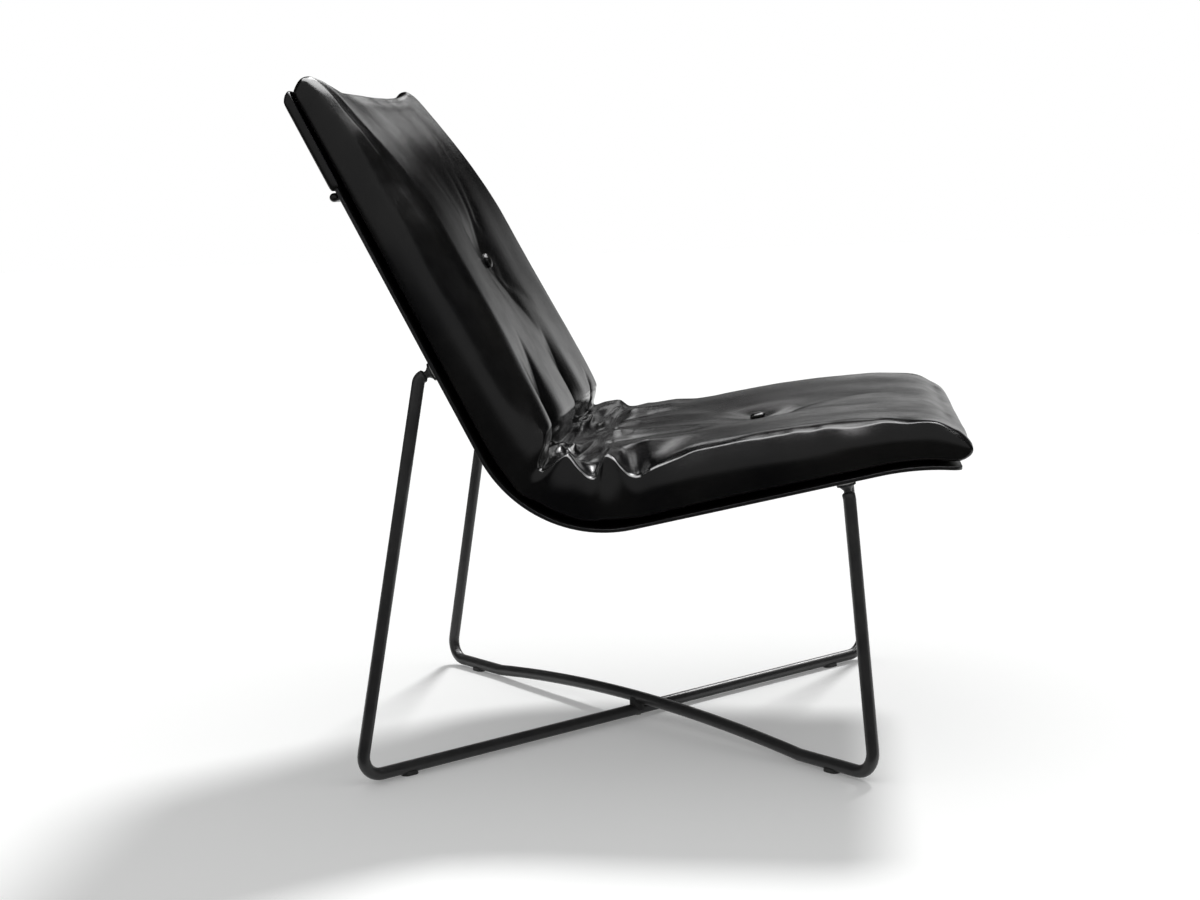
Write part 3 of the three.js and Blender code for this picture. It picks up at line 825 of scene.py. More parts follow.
@dataclass
class Pad:
    """One-piece leather pad: crowned, tufted at two buttons and gathered in the fold."""

    line: SideLine
    cloth: Cloth = Cloth()
    width: float = 0.582
    base: float = 0.0006
    crown_line: tuple[Span, ...] = (
        (0.000, 0.041), (0.030, 0.051), (0.086, 0.065), (0.174, 0.0775), (0.253, 0.080), (0.334, 0.0822),
        (0.414, 0.083), (0.467, 0.0835), (0.620, 0.084), (0.696, 0.0805), (0.782, 0.078), (0.838, 0.0755),
        (0.921, 0.067), (0.997, 0.0545), (1.042, 0.048),
    )
    side_drop: float = 0.03
    side_round: float = 0.042
    near_round: float = 0.080
    near_start: Span = (0.04, 0.15)
    near_end: Span = (0.40, 0.50)
    side_sink: float = 0.5
    corner_round: float = 0.020
    corner_zone: Span = (0.92, 1.01)
    end_round: Span = (0.014, 0.030)
    side_bulge: float = 0.004
    side_turn: float = 2.2
    top_overhang: float = 0.005
    ear_reach: float = 0.016
    top_dip: float = 0.026
    top_bulge: float = 0.005
    top_zone: Span = (0.84, 1.0)
    front_bulge: float = 0.0145
    front_skew: float = 0.75
    front_tuck: float = 0.014
    front_zone: Span = (0.9, 1.0)
    back_button: float = 0.254
    seat_button: float = 0.151
    button_tops: Span = (0.070, 0.065)
    button_hold: float = 0.009
    top_hold: float = 0.05
    front_hold: Span = (0.06, 0.01)
    end_hold: float = 0.35
    gather_hold: float = 0.6
    dish_depth: Span = (0.009, 0.009)
    dish_spread: Span = (0.130, 0.150)
    tuft_depth: Span = (0.009, 0.011)
    tuft_spread: float = 0.046
    pleats: int = 7
    pleat_height: float = 0.0010
    pleat_turn: float = 40.0
    pleat_ring: float = 0.024
    pleat_spread: float = 0.014
    valley_run: float = 0.509
    valley_slant: float = 0.005
    valley_depth: float = 0.026
    valley_spread: float = 0.013
    dip_depth: float = 0.022
    dip_zone: Span = (0.556, 0.042)
    dip_sides: tuple[Span, Span] = ((-0.27, -0.20), (0.16, 0.30))
    gather_zone: Span = (0.47, 0.70)
    gather_cells: float = 0.55
    edge_crowding: float = 1.35
    cells: tuple[int, int, int] = (110, 160, 10)
    rims: tuple[Rim, ...] = (
        Rim(-1, (
            (0.480, 0.000, 0.000), (0.497, 0.000, 0.004), (0.506, 0.000, 0.007), (0.516, 0.000, 0.011),
            (0.526, 0.000, 0.019), (0.534, 0.003, 0.011), (0.541, 0.008, 0.0045), (0.553, 0.008, 0.006),
            (0.579, 0.002, 0.0145), (0.605, 0.000, 0.022), (0.615, 0.001, 0.020), (0.621, 0.006, 0.010),
            (0.628, 0.014, -0.001), (0.640, 0.014, -0.0015), (0.655, 0.008, 0.003), (0.664, 0.002, 0.011),
            (0.670, 0.000, 0.019), (0.681, 0.000, 0.023), (0.700, 0.000, 0.014), (0.722, 0.000, 0.006),
            (0.750, 0.000, 0.000),
        )),
        Rim(1, ((0.490, 0.000, 0.000), (0.530, 0.010, 0.004), (0.560, 0.002, 0.001), (0.590, 0.010, 0.005),
                (0.640, 0.000, 0.000))),
    )
    rim_start: Span = (0.475, 0.515)
    rim_end: Span = (0.68, 0.75)
    rim_up: Span = (0.15, 0.95)
    rim_round: float = 0.011
    rim_fade: float = 0.110
    cup_depth: float = 0.2
    cup_place: Span = (0.026, 0.016)
    cup_end: Span = (0.60, 0.63)
    lobe_edges: Span = (-0.175, 0.055)
    lobe_width: float = 0.034
    lobe_depth: float = 0.012
    lobe_reach: float = 0.016
    lobe_level: Span = (0.3, 0.25)
    lobe_zone: Span = (0.33, 0.50)
    lobe_end: float = 0.02
    folds: tuple[Fold, ...] = (
        Fold(((-0.170, 0.520), (-0.160, 0.440), (-0.130, 0.350)), -0.010, 0.010),
        Fold(((0.050, 0.514), (0.058, 0.440), (0.064, 0.360)), -0.009, 0.009),
        Fold(((0.190, 0.508), (0.200, 0.440)), -0.009, 0.008),
        Fold(((-0.180, 0.532), (-0.165, 0.545), (-0.130, 0.556), (-0.060, 0.566), (0.020, 0.588)),
             0.011, 0.013, 0.3, rise=0.2),
        Fold(((0.020, 0.534), (0.120, 0.525), (0.230, 0.519)), 0.011, 0.012, 0.1, rise=0.3),
        Fold(((0.040, 0.556), (0.160, 0.562), (0.265, 0.579)), 0.011, 0.013, 0.1, rise=0.3),
        Fold(((-0.010, 0.600), (0.050, 0.640), (0.090, 0.720)), 0.005, 0.018),
        Fold(((-0.060, 0.605), (-0.045, 0.690), (-0.060, 0.790)), 0.005, 0.020),
        Fold(((-0.115, 0.615), (-0.100, 0.770)), -0.005, 0.020),
        Fold(((0.100, 0.600), (0.140, 0.680), (0.150, 0.760)), -0.004, 0.020),
        Fold(((-0.190, 0.690), (-0.150, 0.760), (-0.140, 0.860)), 0.004, 0.022),
        Fold(((0.180, 0.610), (0.210, 0.720)), 0.003, 0.018),
        Fold(((0.020, 0.270), (0.120, 0.330)), -0.004, 0.012),
        Fold(((0.010, 0.285), (0.050, 0.370)), -0.004, 0.012),
        Fold(((-0.020, 0.235), (-0.080, 0.080)), -0.0022, 0.011),
        Fold(((0.020, 0.235), (0.090, 0.070)), -0.0022, 0.011),
        Fold(((0.060, 0.200), (0.160, 0.060)), -0.0018, 0.011),
        Fold(((0.000, 0.840), (0.030, 0.980)), -0.0016, 0.011),
        Fold(((-0.030, 0.835), (-0.110, 0.960)), -0.0016, 0.011),
    )
    fold_up: Span = (0.6, 1.0)
    waves: float = 0.0016
    wave_scale: Span = (11.0, 5.5)
    wave_seed: float = 4.7
    ripples: Span = (0.0036, 0.0010)
    ripple_scale: Span = (11.0, 40.0)
    ripple_seed: float = 1.3
    ripple_reach: float = 0.028
    ripple_back: float = 0.25
    ripple_zone: Span = (0.50, 0.66)
    soften_share: float = 0.5
    soften_turns: int = 2

    @property
    def button_runs(self) -> Span:
        """Runs of the back's and the seat's button."""
        return self.back_button, self.line.bend_end + self.seat_button

    def tuft(self, x: float, run: float) -> float:
        """Depth of the tufts round the buttons, with their short pleats.

        Args:
            x: distance from the middle plane.
            run: way down the side line.

        Returns:
            The depth below the crown.
        """
        depth = 0.0
        across, along = self.dish_spread
        for middle, dish, deep in zip(self.button_runs, self.dish_depth, self.tuft_depth, strict=True):
            away = math.hypot(run - middle, x)
            round_it = math.atan2(run - middle, x)
            pleat = self.pleat_height * math.cos(self.pleats * round_it + self.pleat_turn * middle)
            pleat *= bell(away - self.pleat_ring, self.pleat_spread)
            depth += dish * bell(x, across) * bell(run - middle, along)
            depth += deep * bell(away, self.tuft_spread) + pleat
        return depth

    def height(self, x: float, run: float) -> float:
        """Height of the pad's upper face before its folds.

        Args:
            x: distance from the middle plane.
            run: way down the side line.

        Returns:
            The height off the shell.
        """
        share = min(1.0, abs(x) / (self.width / 2))
        groove = max(bell(x - edge, self.lobe_width) for edge in self.lobe_edges)
        grown = smoothstep(run, *self.lobe_zone)
        grown *= smoothstep(-run, -self.valley_run, self.lobe_end - self.valley_run)
        reach_level, depth_level = self.lobe_level
        bent_run = self.valley_run - self.valley_slant * x - self.lobe_reach * (groove - reach_level)
        away = (run - bent_run) / self.valley_spread
        low = self.tuft(x, run) + self.valley_depth / (1 + away * away)
        low += self.lobe_depth * (groove - depth_level) * grown
        near, far = self.dip_sides
        middle, spread = self.dip_zone
        low += self.dip_depth * bell(run - middle, spread) * smoothstep(x, *near) * (1 - smoothstep(x, *far))
        return through(self.crown_line, run) * (1 - self.side_drop * share**3) - low

    @staticmethod
    def _rounded(share: float, flat: float, radius: float) -> Span:
        """Way out and drop of a point on an upper face that rounds over at its edges.

        Args:
            share: place from the middle, 0, to the edge, 1 or -1.
            flat: half the face's extent.
            radius: radius of the rounding.

        Returns:
            The distance from the middle and the drop below the flat part.
        """
        quarter = radius * math.pi / 4
        spare = (1 - abs(share)) * (flat - radius + quarter)
        turn = math.pi / 4 - spare / radius
        if turn <= 0:
            return math.copysign(flat - radius - (spare - quarter), share), 0.0
        out = flat - radius + radius * math.sin(turn)
        return math.copysign(out, share), radius * (1 - math.cos(turn))

    def place(self, a: float, b: float, c: float) -> Spot:
        """Place of a point of the pad's skin.

        Args:
            a: share across, from -1 to 1.
            b: share along, from -1 at the top to 1 at the front.
            c: share up the sides, from 0 at the base to 1 at the upper face.

        Returns:
            Its x, run and height.
        """
        half_run = self.line.lip_end / 2
        out, drop_b = self._rounded(b, half_run, self.end_round[b > 0])
        run = half_run + out
        inward, sag = self._rim(a, run)
        half = self.width / 2 - inward * smoothstep(c, *self.rim_up)
        gathered = self._gathered(run)
        x, drop_a = self._rounded(a, half, lerp(self._shoulder(a, run), self.rim_round, gathered))
        top = self.height(x, run) - lerp(self.side_sink, 1.0, gathered) * drop_a - drop_b
        top -= self._edge_drop((1 - abs(a)) * half, run, sag)
        swell = math.sin(math.pi * c)
        outward = math.sin(math.pi / 2 * min(1.0, self.side_turn * (1 - c)))
        tuck = self.front_tuck * (1 - c) ** 3 if b > 0 else 0.0
        if abs(a) == 1:
            x = math.copysign(lerp(abs(x), half, outward) + self.side_bulge * swell, a)
        if abs(b) == 1:
            bulge = self.top_bulge if b < 0 else self.front_bulge
            full = swell if b < 0 else math.sin(math.pi * c**self.front_skew)
            run = half_run + math.copysign(lerp(abs(out), half_run, outward) + bulge * full - tuck, b)
        else:
            run -= tuck * smoothstep(b, *self.front_zone)
        near_top = smoothstep(-b, *self.top_zone)
        run += near_top * (c * (self.top_dip * (1 - a**4) - self.ear_reach) - self.top_overhang)
        return x, run, lerp(self.base, top, c)

    def _shoulder(self, a: float, run: float) -> float:
        """Radius of the shoulder: broad on the near side of the back, tight at the front corners.

        Args:
            a: share across, from -1 to 1.
            run: way down the side line.

        Returns:
            The radius.
        """
        broad = smoothstep(run, *self.near_start) * (1 - smoothstep(run, *self.near_end))
        soft = lerp(self.side_round, self.near_round, broad) if a < 0 else self.side_round
        return lerp(soft, self.corner_round, smoothstep(run, *self.corner_zone))

    def _rim(self, a: float, run: float) -> Span:
        """Way in and drop of the scalloped edge on the side of a share across."""
        return next((rim.at(run) for rim in self.rims if rim.side * a > 0), (0.0, 0.0))

    def _edge_drop(self, inward: float, run: float, sag: float) -> float:
        """Drop of the upper face near its scalloped edge, with cups behind it.

        Args:
            inward: distance in from the edge.
            run: way down the side line.
            sag: drop of the edge itself.

        Returns:
            The drop.
        """
        middle, spread = self.cup_place
        cup = self.cup_depth * bell(inward - middle, spread) * (1 - smoothstep(run, *self.cup_end))
        return sag * (1 - smoothstep(inward, 0.0, self.rim_fade) + cup)

    def _spread(self, share: float) -> float:
        """Moves a lattice line along, so that the cells are finer in the gathers.

        Args:
            share: its even share along, from -1 to 1.

        Returns:
            The share that it moves to.
        """
        first, last = (2 * run / self.line.lip_end - 1 for run in self.gather_zone)
        before = (first + 1) / (2 - last + first)
        low = 2 * (1 - self.gather_cells) * before - 1
        high = low + 2 * self.gather_cells
        if share < low:
            return lerp(-1, first, (share + 1) / (low + 1))
        if share < high:
            return lerp(first, last, (share - low) / (high - low))
        return lerp(last, 1, (share - high) / (1 - high))

    def _crowd(self, share: float) -> float:
        """Moves a lattice line's share across, so that the cells are finer at the edges."""
        return math.copysign(1 - (1 - min(1.0, abs(share))) ** self.edge_crowding, share)

    def _lattice(self) -> tuple[bmesh.types.BMesh, list[Spot]]:
        """Lays out a box of cells with plain strips for its base.

        Returns:
            The box and each vertex's shares across, along and up.
        """
        across, along, up = self.cells
        bm = bmesh.new()
        bmesh.ops.create_grid(bm, x_segments=across, y_segments=along, size=1)
        raised = bmesh.ops.extrude_face_region(bm, geom=bm.faces[:])["geom"]
        bmesh.ops.translate(
            bm, vec=(0, 0, 1), verts=[v for v in raised if isinstance(v, bmesh.types.BMVert)]
        )
        upright = [e for e in bm.edges if abs(e.verts[0].co.z - e.verts[1].co.z) > SMALL]
        bmesh.ops.subdivide_edges(bm, edges=upright, cuts=up - 1, use_grid_fill=True)
        plain = [e for e in bm.edges if all(v.co.z < SMALL and abs(v.co.x) < 1 - SMALL for v in e.verts)]
        plain = [e for e in plain if abs(e.verts[0].co.x - e.verts[1].co.x) < SMALL]
        bmesh.ops.dissolve_edges(bm, edges=plain, use_verts=True)
        bm.verts.index_update()
        shares: list[Spot] = []
        for vert in bm.verts:
            a, b = self._crowd(vert.co.x), self._spread(vert.co.y)
            c = 1 - (1 - vert.co.z) ** self.edge_crowding
            shares.append((round(a, DIGITS), round(b, DIGITS), round(c, DIGITS)))
        return bm, shares

    def build(self) -> bpy.types.Object:
        """Builds the pad: lays out its skin, lets it settle under pressure and adds its folds."""
        bm, shares = self._lattice()
        spots = [self.place(*share) for share in shares]
        flat = bm.loops.layers.uv.new("flat")
        for face in bm.faces:
            for loop in face.loops:
                x, run, height = spots[loop.vert.index]
                loop[flat].uv = (x, run + height)
        for vert in bm.verts:
            vert.co = self.line.point(*spots[vert.index])
        bmesh.ops.recalc_face_normals(bm, faces=bm.faces[:])
        piece = keep_piece(bm, "leather_pad")
        for name, values in (("spot", spots), ("share", shares)):
            layer = piece.data.attributes.new(name, "FLOAT_VECTOR", "POINT")
            layer.data.foreach_set("vector", [number for value in values for number in value])
        self._settle(piece, shares, spots)
        smooth = piece.modifiers.new("smooth", "SUBSURF")
        smooth.levels = smooth.render_levels = 1
        apply_modifiers(piece)
        self._gather(piece)
        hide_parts("pad_cover", "pad_base_panel", "back_filling", "seat_filling")
        return piece

    def _gather(self, piece: bpy.types.Object) -> None:
        """Raises and sinks the skin along its folds, then softens it."""
        mesh = piece.data
        spots = [item.vector for item in mesh.attributes["spot"].data]
        shares = [item.vector for item in mesh.attributes["share"].data]
        for vert, spot, share in zip(mesh.vertices, spots, shares, strict=True):
            weight = smoothstep(share.z, *self.fold_up)
            if weight > 0:
                vert.co += self.line.normal(spot.y) * (weight * self._lift(spot.x, spot.y, share.x))
        soften = piece.modifiers.new("soften", "SMOOTH")
        soften.factor = self.soften_share
        soften.iterations = self.soften_turns
        apply_modifiers(piece)

    def _lift(self, x: float, run: float, across: float) -> float:
        """Lift of the folds, of slow waves and of soft ripples along the shoulders.

        Args:
            x: distance from the middle plane.
            run: way down the side line.
            across: share across, from -1 to 1.

        Returns:
            The lift off the settled skin.
        """
        lift = sum(fold.at(x, run) for fold in self.folds)
        wide, long = self.wave_scale
        lift += self.waves * noise.noise(Vector((wide * x, long * run, self.wave_seed)))
        edge = bell((1 - abs(across)) * self.width / 2, self.ripple_reach) * (1 - self._gathered(run))
        ripple = self.ripples[across > 0] * lerp(self.ripple_back, 1.0, smoothstep(run, *self.ripple_zone))
        wide, long = self.ripple_scale
        return lift + ripple * edge * noise.noise(Vector((wide * x, long * run, self.ripple_seed)))

    def _gathered(self, run: float) -> float:
        """Share of the gathers at a run."""
        return smoothstep(run, *self.rim_start) * (1 - smoothstep(run, *self.rim_end))

    def _hold(self, share: Spot, x: float, run: float) -> float:
        """How firmly a point is held while the skin settles.

        Args:
            share: its shares across, along and up.
            x: distance from the middle plane.
            run: way down the side line.

        Returns:
            The hold, from 0 to 1.
        """
        if share[2] == 0 or min(math.hypot(run - s, x) for s in self.button_runs) < self.button_hold:
            return 1.0
        front = smoothstep(run, *(self.line.lip_end - way for way in self.front_hold))
        top = smoothstep(-run, -self.top_hold, 0.0)
        return max(self.end_hold * front, self.end_hold * top, self.gather_hold * self._gathered(run))

    def _settle(
        self,
        piece: bpy.types.Object,
        shares: list[Spot],
        spots: list[Spot],
    ) -> None:
        """Simulates the skin as cloth under pressure and keeps the result, with its moves capped.

        Args:
            piece: the pad.
            shares: each vertex's shares across, along and up.
            spots: each vertex's x, run and height.
        """
        held = piece.vertex_groups.new(name="held")
        for index, spot in enumerate(spots):
            grip = self._hold(shares[index], *spot[:2])
            if grip > 0:
                held.add([index], grip, "REPLACE")
        self._cloth_modifier(piece)
        scene = bpy.context.scene
        for number in range(1, self.cloth.frames + 1):
            scene.frame_set(number)
        graph = bpy.context.evaluated_depsgraph_get()
        settled = [v.co.copy() for v in piece.evaluated_get(graph).data.vertices]
        piece.modifiers.clear()
        piece.vertex_groups.clear()
        scene.frame_set(1)
        moves = [end - vert.co for vert, end in zip(piece.data.vertices, settled, strict=True)]
        for vert, move in zip(piece.data.vertices, self._evened(piece.data, moves), strict=True):
            vert.co += move * min(1.0, self.cloth.cap / max(move.length, SMALL))

    def _evened(self, mesh: bpy.types.Mesh, moves: list[Vector]) -> list[Vector]:
        """Evens out moves between neighbouring vertices, which takes small crumples away.

        Args:
            mesh: the mesh whose vertices move.
            moves: each vertex's move.

        Returns:
            The evened moves.
        """
        pairs = [tuple(edge.vertices) for edge in mesh.edges]
        for _ in range(self.cloth.evening):
            sums, counts = [move.copy() for move in moves], [1] * len(moves)
            for first, second in pairs:
                sums[first] += moves[second]
                sums[second] += moves[first]
                counts[first] += 1
                counts[second] += 1
            moves = [total / count for total, count in zip(sums, counts, strict=True)]
        return moves

    def _cloth_modifier(self, piece: bpy.types.Object) -> None:
        """Adds the cloth that the skin, with its held group, settles as."""
        modifier = piece.modifiers.new("settle", "CLOTH")
        cloth, settings = self.cloth, modifier.settings
        settings.quality = cloth.quality
        settings.mass = cloth.mass
        settings.tension_stiffness = cloth.stretch
        settings.compression_stiffness = cloth.squeeze
        settings.shear_stiffness = cloth.shear
        settings.bending_stiffness = cloth.bend
        settings.tension_damping = settings.compression_damping = cloth.damping
        settings.shear_damping = settings.bending_damping = cloth.damping
        settings.air_damping = cloth.air
        settings.use_pressure = True
        settings.uniform_pressure_force = cloth.pressure
        settings.vertex_group_mass = "held"
        settings.pin_stiffness = 1
        settings.effector_weights.gravity = 0
        modifier.collision_settings.use_collision = False
        modifier.collision_settings.use_self_collision = False
        modifier.point_cache.frame_start = 1
        modifier.point_cache.frame_end = cloth.frames


@dataclass
class Button:
    """Leather-covered button that draws the pad down."""

    line: SideLine
    run: float
    top: float
    name: str
    node: str
    radius: float = 0.010
    rim: float = 0.0030
    dome: float = 0.0050
    dome_steps: int = 7
    foot: tuple[Span, ...] = ((0.985, 0.4), (0.86, 0.0), (0.0, 0.0))
    pleats: int = 14
    pleat_depth: float = 0.018
    pleat_start: float = 0.55
    pleat_rise: float = 0.001
    steps: int = 56

    def build(self) -> bpy.types.Object:
        """Builds the domed button with the fine pleats of its cover round the rim."""
        arc = [math.pi / 2 * step / self.dome_steps for step in range(self.dome_steps + 1)]
        profile = [(self.radius * math.sin(turn), self.rim + self.dome * math.cos(turn)) for turn in arc]
        profile += [(out * self.radius, up * self.rim) for out, up in self.foot]
        bm = turned(profile, self.steps)
        for vert in bm.verts:
            out = math.hypot(vert.co.x, vert.co.y)
            turn = math.atan2(vert.co.y, vert.co.x)
            near = smoothstep(out, self.pleat_start * self.radius, self.radius)
            near *= smoothstep(vert.co.z, 0.0, self.pleat_rise)
            vert.co *= 1 + self.pleat_depth * near * math.cos(self.pleats * turn)
        place = self.line.onto(0, self.run, self.top - self.rim - self.dome)
        bmesh.ops.transform(bm, matrix=place, verts=bm.verts[:])
        piece = keep_piece(bm, self.name)
        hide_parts(self.node)
        return piece


@dataclass
class Pocket:
    """Leather pocket over the shell's top edge, with a rolled and stitched hem."""

    line: SideLine
    shell_thickness: float = 0.004
    width: float = 0.5935
    depth: float = 0.112
    thickness: float = 0.0034
    gap: float = 0.0034
    over: float = 0.010
    lap: float = 0.0035
    sag: float = 0.0015
    hem: float = 0.0052
    clearance: float = 0.0003
    top_gap: float = 0.002
    sag_start: float = 0.2
    turns: tuple[Span, ...] = ((0.45, 0.75), (1.0, 1.0))
    edge_out: float = 0.0008
    over_middle: float = 0.5
    hem_inset: float = 0.001
    hem_gap: float = 0.002
    hem_turns: tuple[float, ...] = (0.25, 0.6, 1.0, 1.57)
    hem_steps: int = 40
    wander: float = 0.0006
    wander_scale: float = 31.0
    wander_phase: float = 0.7
    stitch_pitch: float = 0.0055
    stitch_margin: float = 0.03
    stitch_rise: float = 0.007
    stitch_size: Spot = (0.0019, 0.0005, 0.0004)
    stitch_steps: tuple[int, int] = (8, 6)
    cells: tuple[int, int] = (60, 14)

    @property
    def rear(self) -> float:
        """Height of the rear leaf's middle."""
        return -self.shell_thickness - self.gap - self.thickness / 2

    def _spot(self, a: float, b: float, turn: int) -> Spot:
        """Place of a point of the leather.

        Args:
            a: share across, from -1 to 1.
            b: share down the rear, from 0 at the top to 1 at the hem.
            turn: 0 on the rear leaf, 1 or 2 on its turned-over rim.

        Returns:
            Its x, run and height.
        """
        x, run = a * self.width / 2, lerp(-self.top_gap, self.depth, b)
        if turn == 0:
            slack = self.sag * (1 - a**4) * math.sin(math.pi * lerp(self.sag_start, 1.0, b))
            return x, run, self.rear - slack
        up, out = self.turns[turn - 1]
        if abs(a) == 1:
            x += math.copysign(self.edge_out, a)
        if b == 0:
            run -= self.over * out * lerp(self.over_middle, 1.0, a * a)
        return x, run, lerp(self.rear, self.lap, up)

    def build(self) -> list[bpy.types.Object]:
        """Builds the pocket, its hem and the hem's stitches."""
        bm = bmesh.new()
        bmesh.ops.create_grid(bm, x_segments=self.cells[0], y_segments=self.cells[1], size=1)
        level = bm.verts.layers.int.new("turn")
        for turn in (1, 2):
            rim = [e for e in bm.edges if e.is_boundary and min(v.co.y for v in e.verts) < 1 - SMALL]
            rim = [e for e in rim if all(v[level] == turn - 1 for v in e.verts)]
            for item in bmesh.ops.extrude_edge_only(bm, edges=rim)["geom"]:
                if isinstance(item, bmesh.types.BMVert):
                    item[level] = turn
        for vert in bm.verts:
            a, b = round(vert.co.x, DIGITS), round((vert.co.y + 1) / 2, DIGITS)
            vert.co = self.line.point(*self._spot(a, b, vert[level]))
        bmesh.ops.recalc_face_normals(bm, faces=bm.faces[:])
        bmesh.ops.solidify(bm, geom=bm.faces[:], thickness=self.thickness)
        piece = keep_piece(bm, "leather_pocket")
        smooth = piece.modifiers.new("smooth", "SUBSURF")
        smooth.levels = smooth.render_levels = 1
        apply_modifiers(piece)
        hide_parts("rear_pocket")
        hem, stitches = self._hem(), self._stitches()
        return [piece, hem, stitches]

    def _hem(self) -> bpy.types.Object:
        """Builds the rolled hem, which wanders a little and closes round at its ends."""
        half = self.width / 2 - self.hem_inset
        height = -self.shell_thickness - self.clearance - self.hem
        ends = [(-half + self.hem * (1 - math.cos(turn)), math.sin(turn)) for turn in self.hem_turns]
        ways = [step / self.hem_steps for step in range(1, self.hem_steps)]
        inner = [(lerp(-half + self.hem, half - self.hem, way), 1.0) for way in ways]
        points = []
        for x, share in ends + inner + [(-x, share) for x, share in reversed(ends)]:
            wander = self.wander * math.sin(self.wander_scale * x + self.wander_phase)
            points.append((self.line.point(x, self.depth + self.hem + self.hem_gap + wander, height), share))
        piece = tube("pocket_roll", points, self.hem)
        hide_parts("pocket_hem")
        return piece

    def _stitches(self) -> bpy.types.Object:
        """Builds the row of stitches above the hem."""
        bm = bmesh.new()
        count = int((self.width - self.stitch_margin) / self.stitch_pitch)
        run = self.depth - self.stitch_rise
        size = Matrix.Diagonal((*self.stitch_size, 1))
        around, along = self.stitch_steps
        for index in range(count):
            x = (index - (count - 1) / 2) * self.stitch_pitch
            height = self._spot(x / (self.width / 2), run / self.depth, 0)[2] - self.thickness / 2
            matrix = self.line.onto(x, run, height) @ size
            bmesh.ops.create_uvsphere(bm, u_segments=around, v_segments=along, radius=1, matrix=matrix)
        return keep_piece(bm, "hem_stitches")


# Base


def fillet(before: Vector, corner: Vector, after: Vector, radius: float, steps: int = 10) -> list[Vector]:
    """Arc that rounds a corner.

    Args:
        before: a point on the way in.
        corner: the corner.
        after: a point on the way out.
        radius: radius of the arc.
        steps: number of steps in the arc.

    Returns:
        The arc's points.
    """
    into, out = (corner - before).normalized(), (after - corner).normalized()
    angle = into.angle(out)
    start = corner - into * (radius * math.tan(angle / 2))
    centre = start + (out - into * into.dot(out)).normalized() * radius
    axis = into.cross(out).normalized()
    return [centre + Matrix.Rotation(angle * i / steps, 3, axis) @ (start - centre) for i in range(steps + 1)]


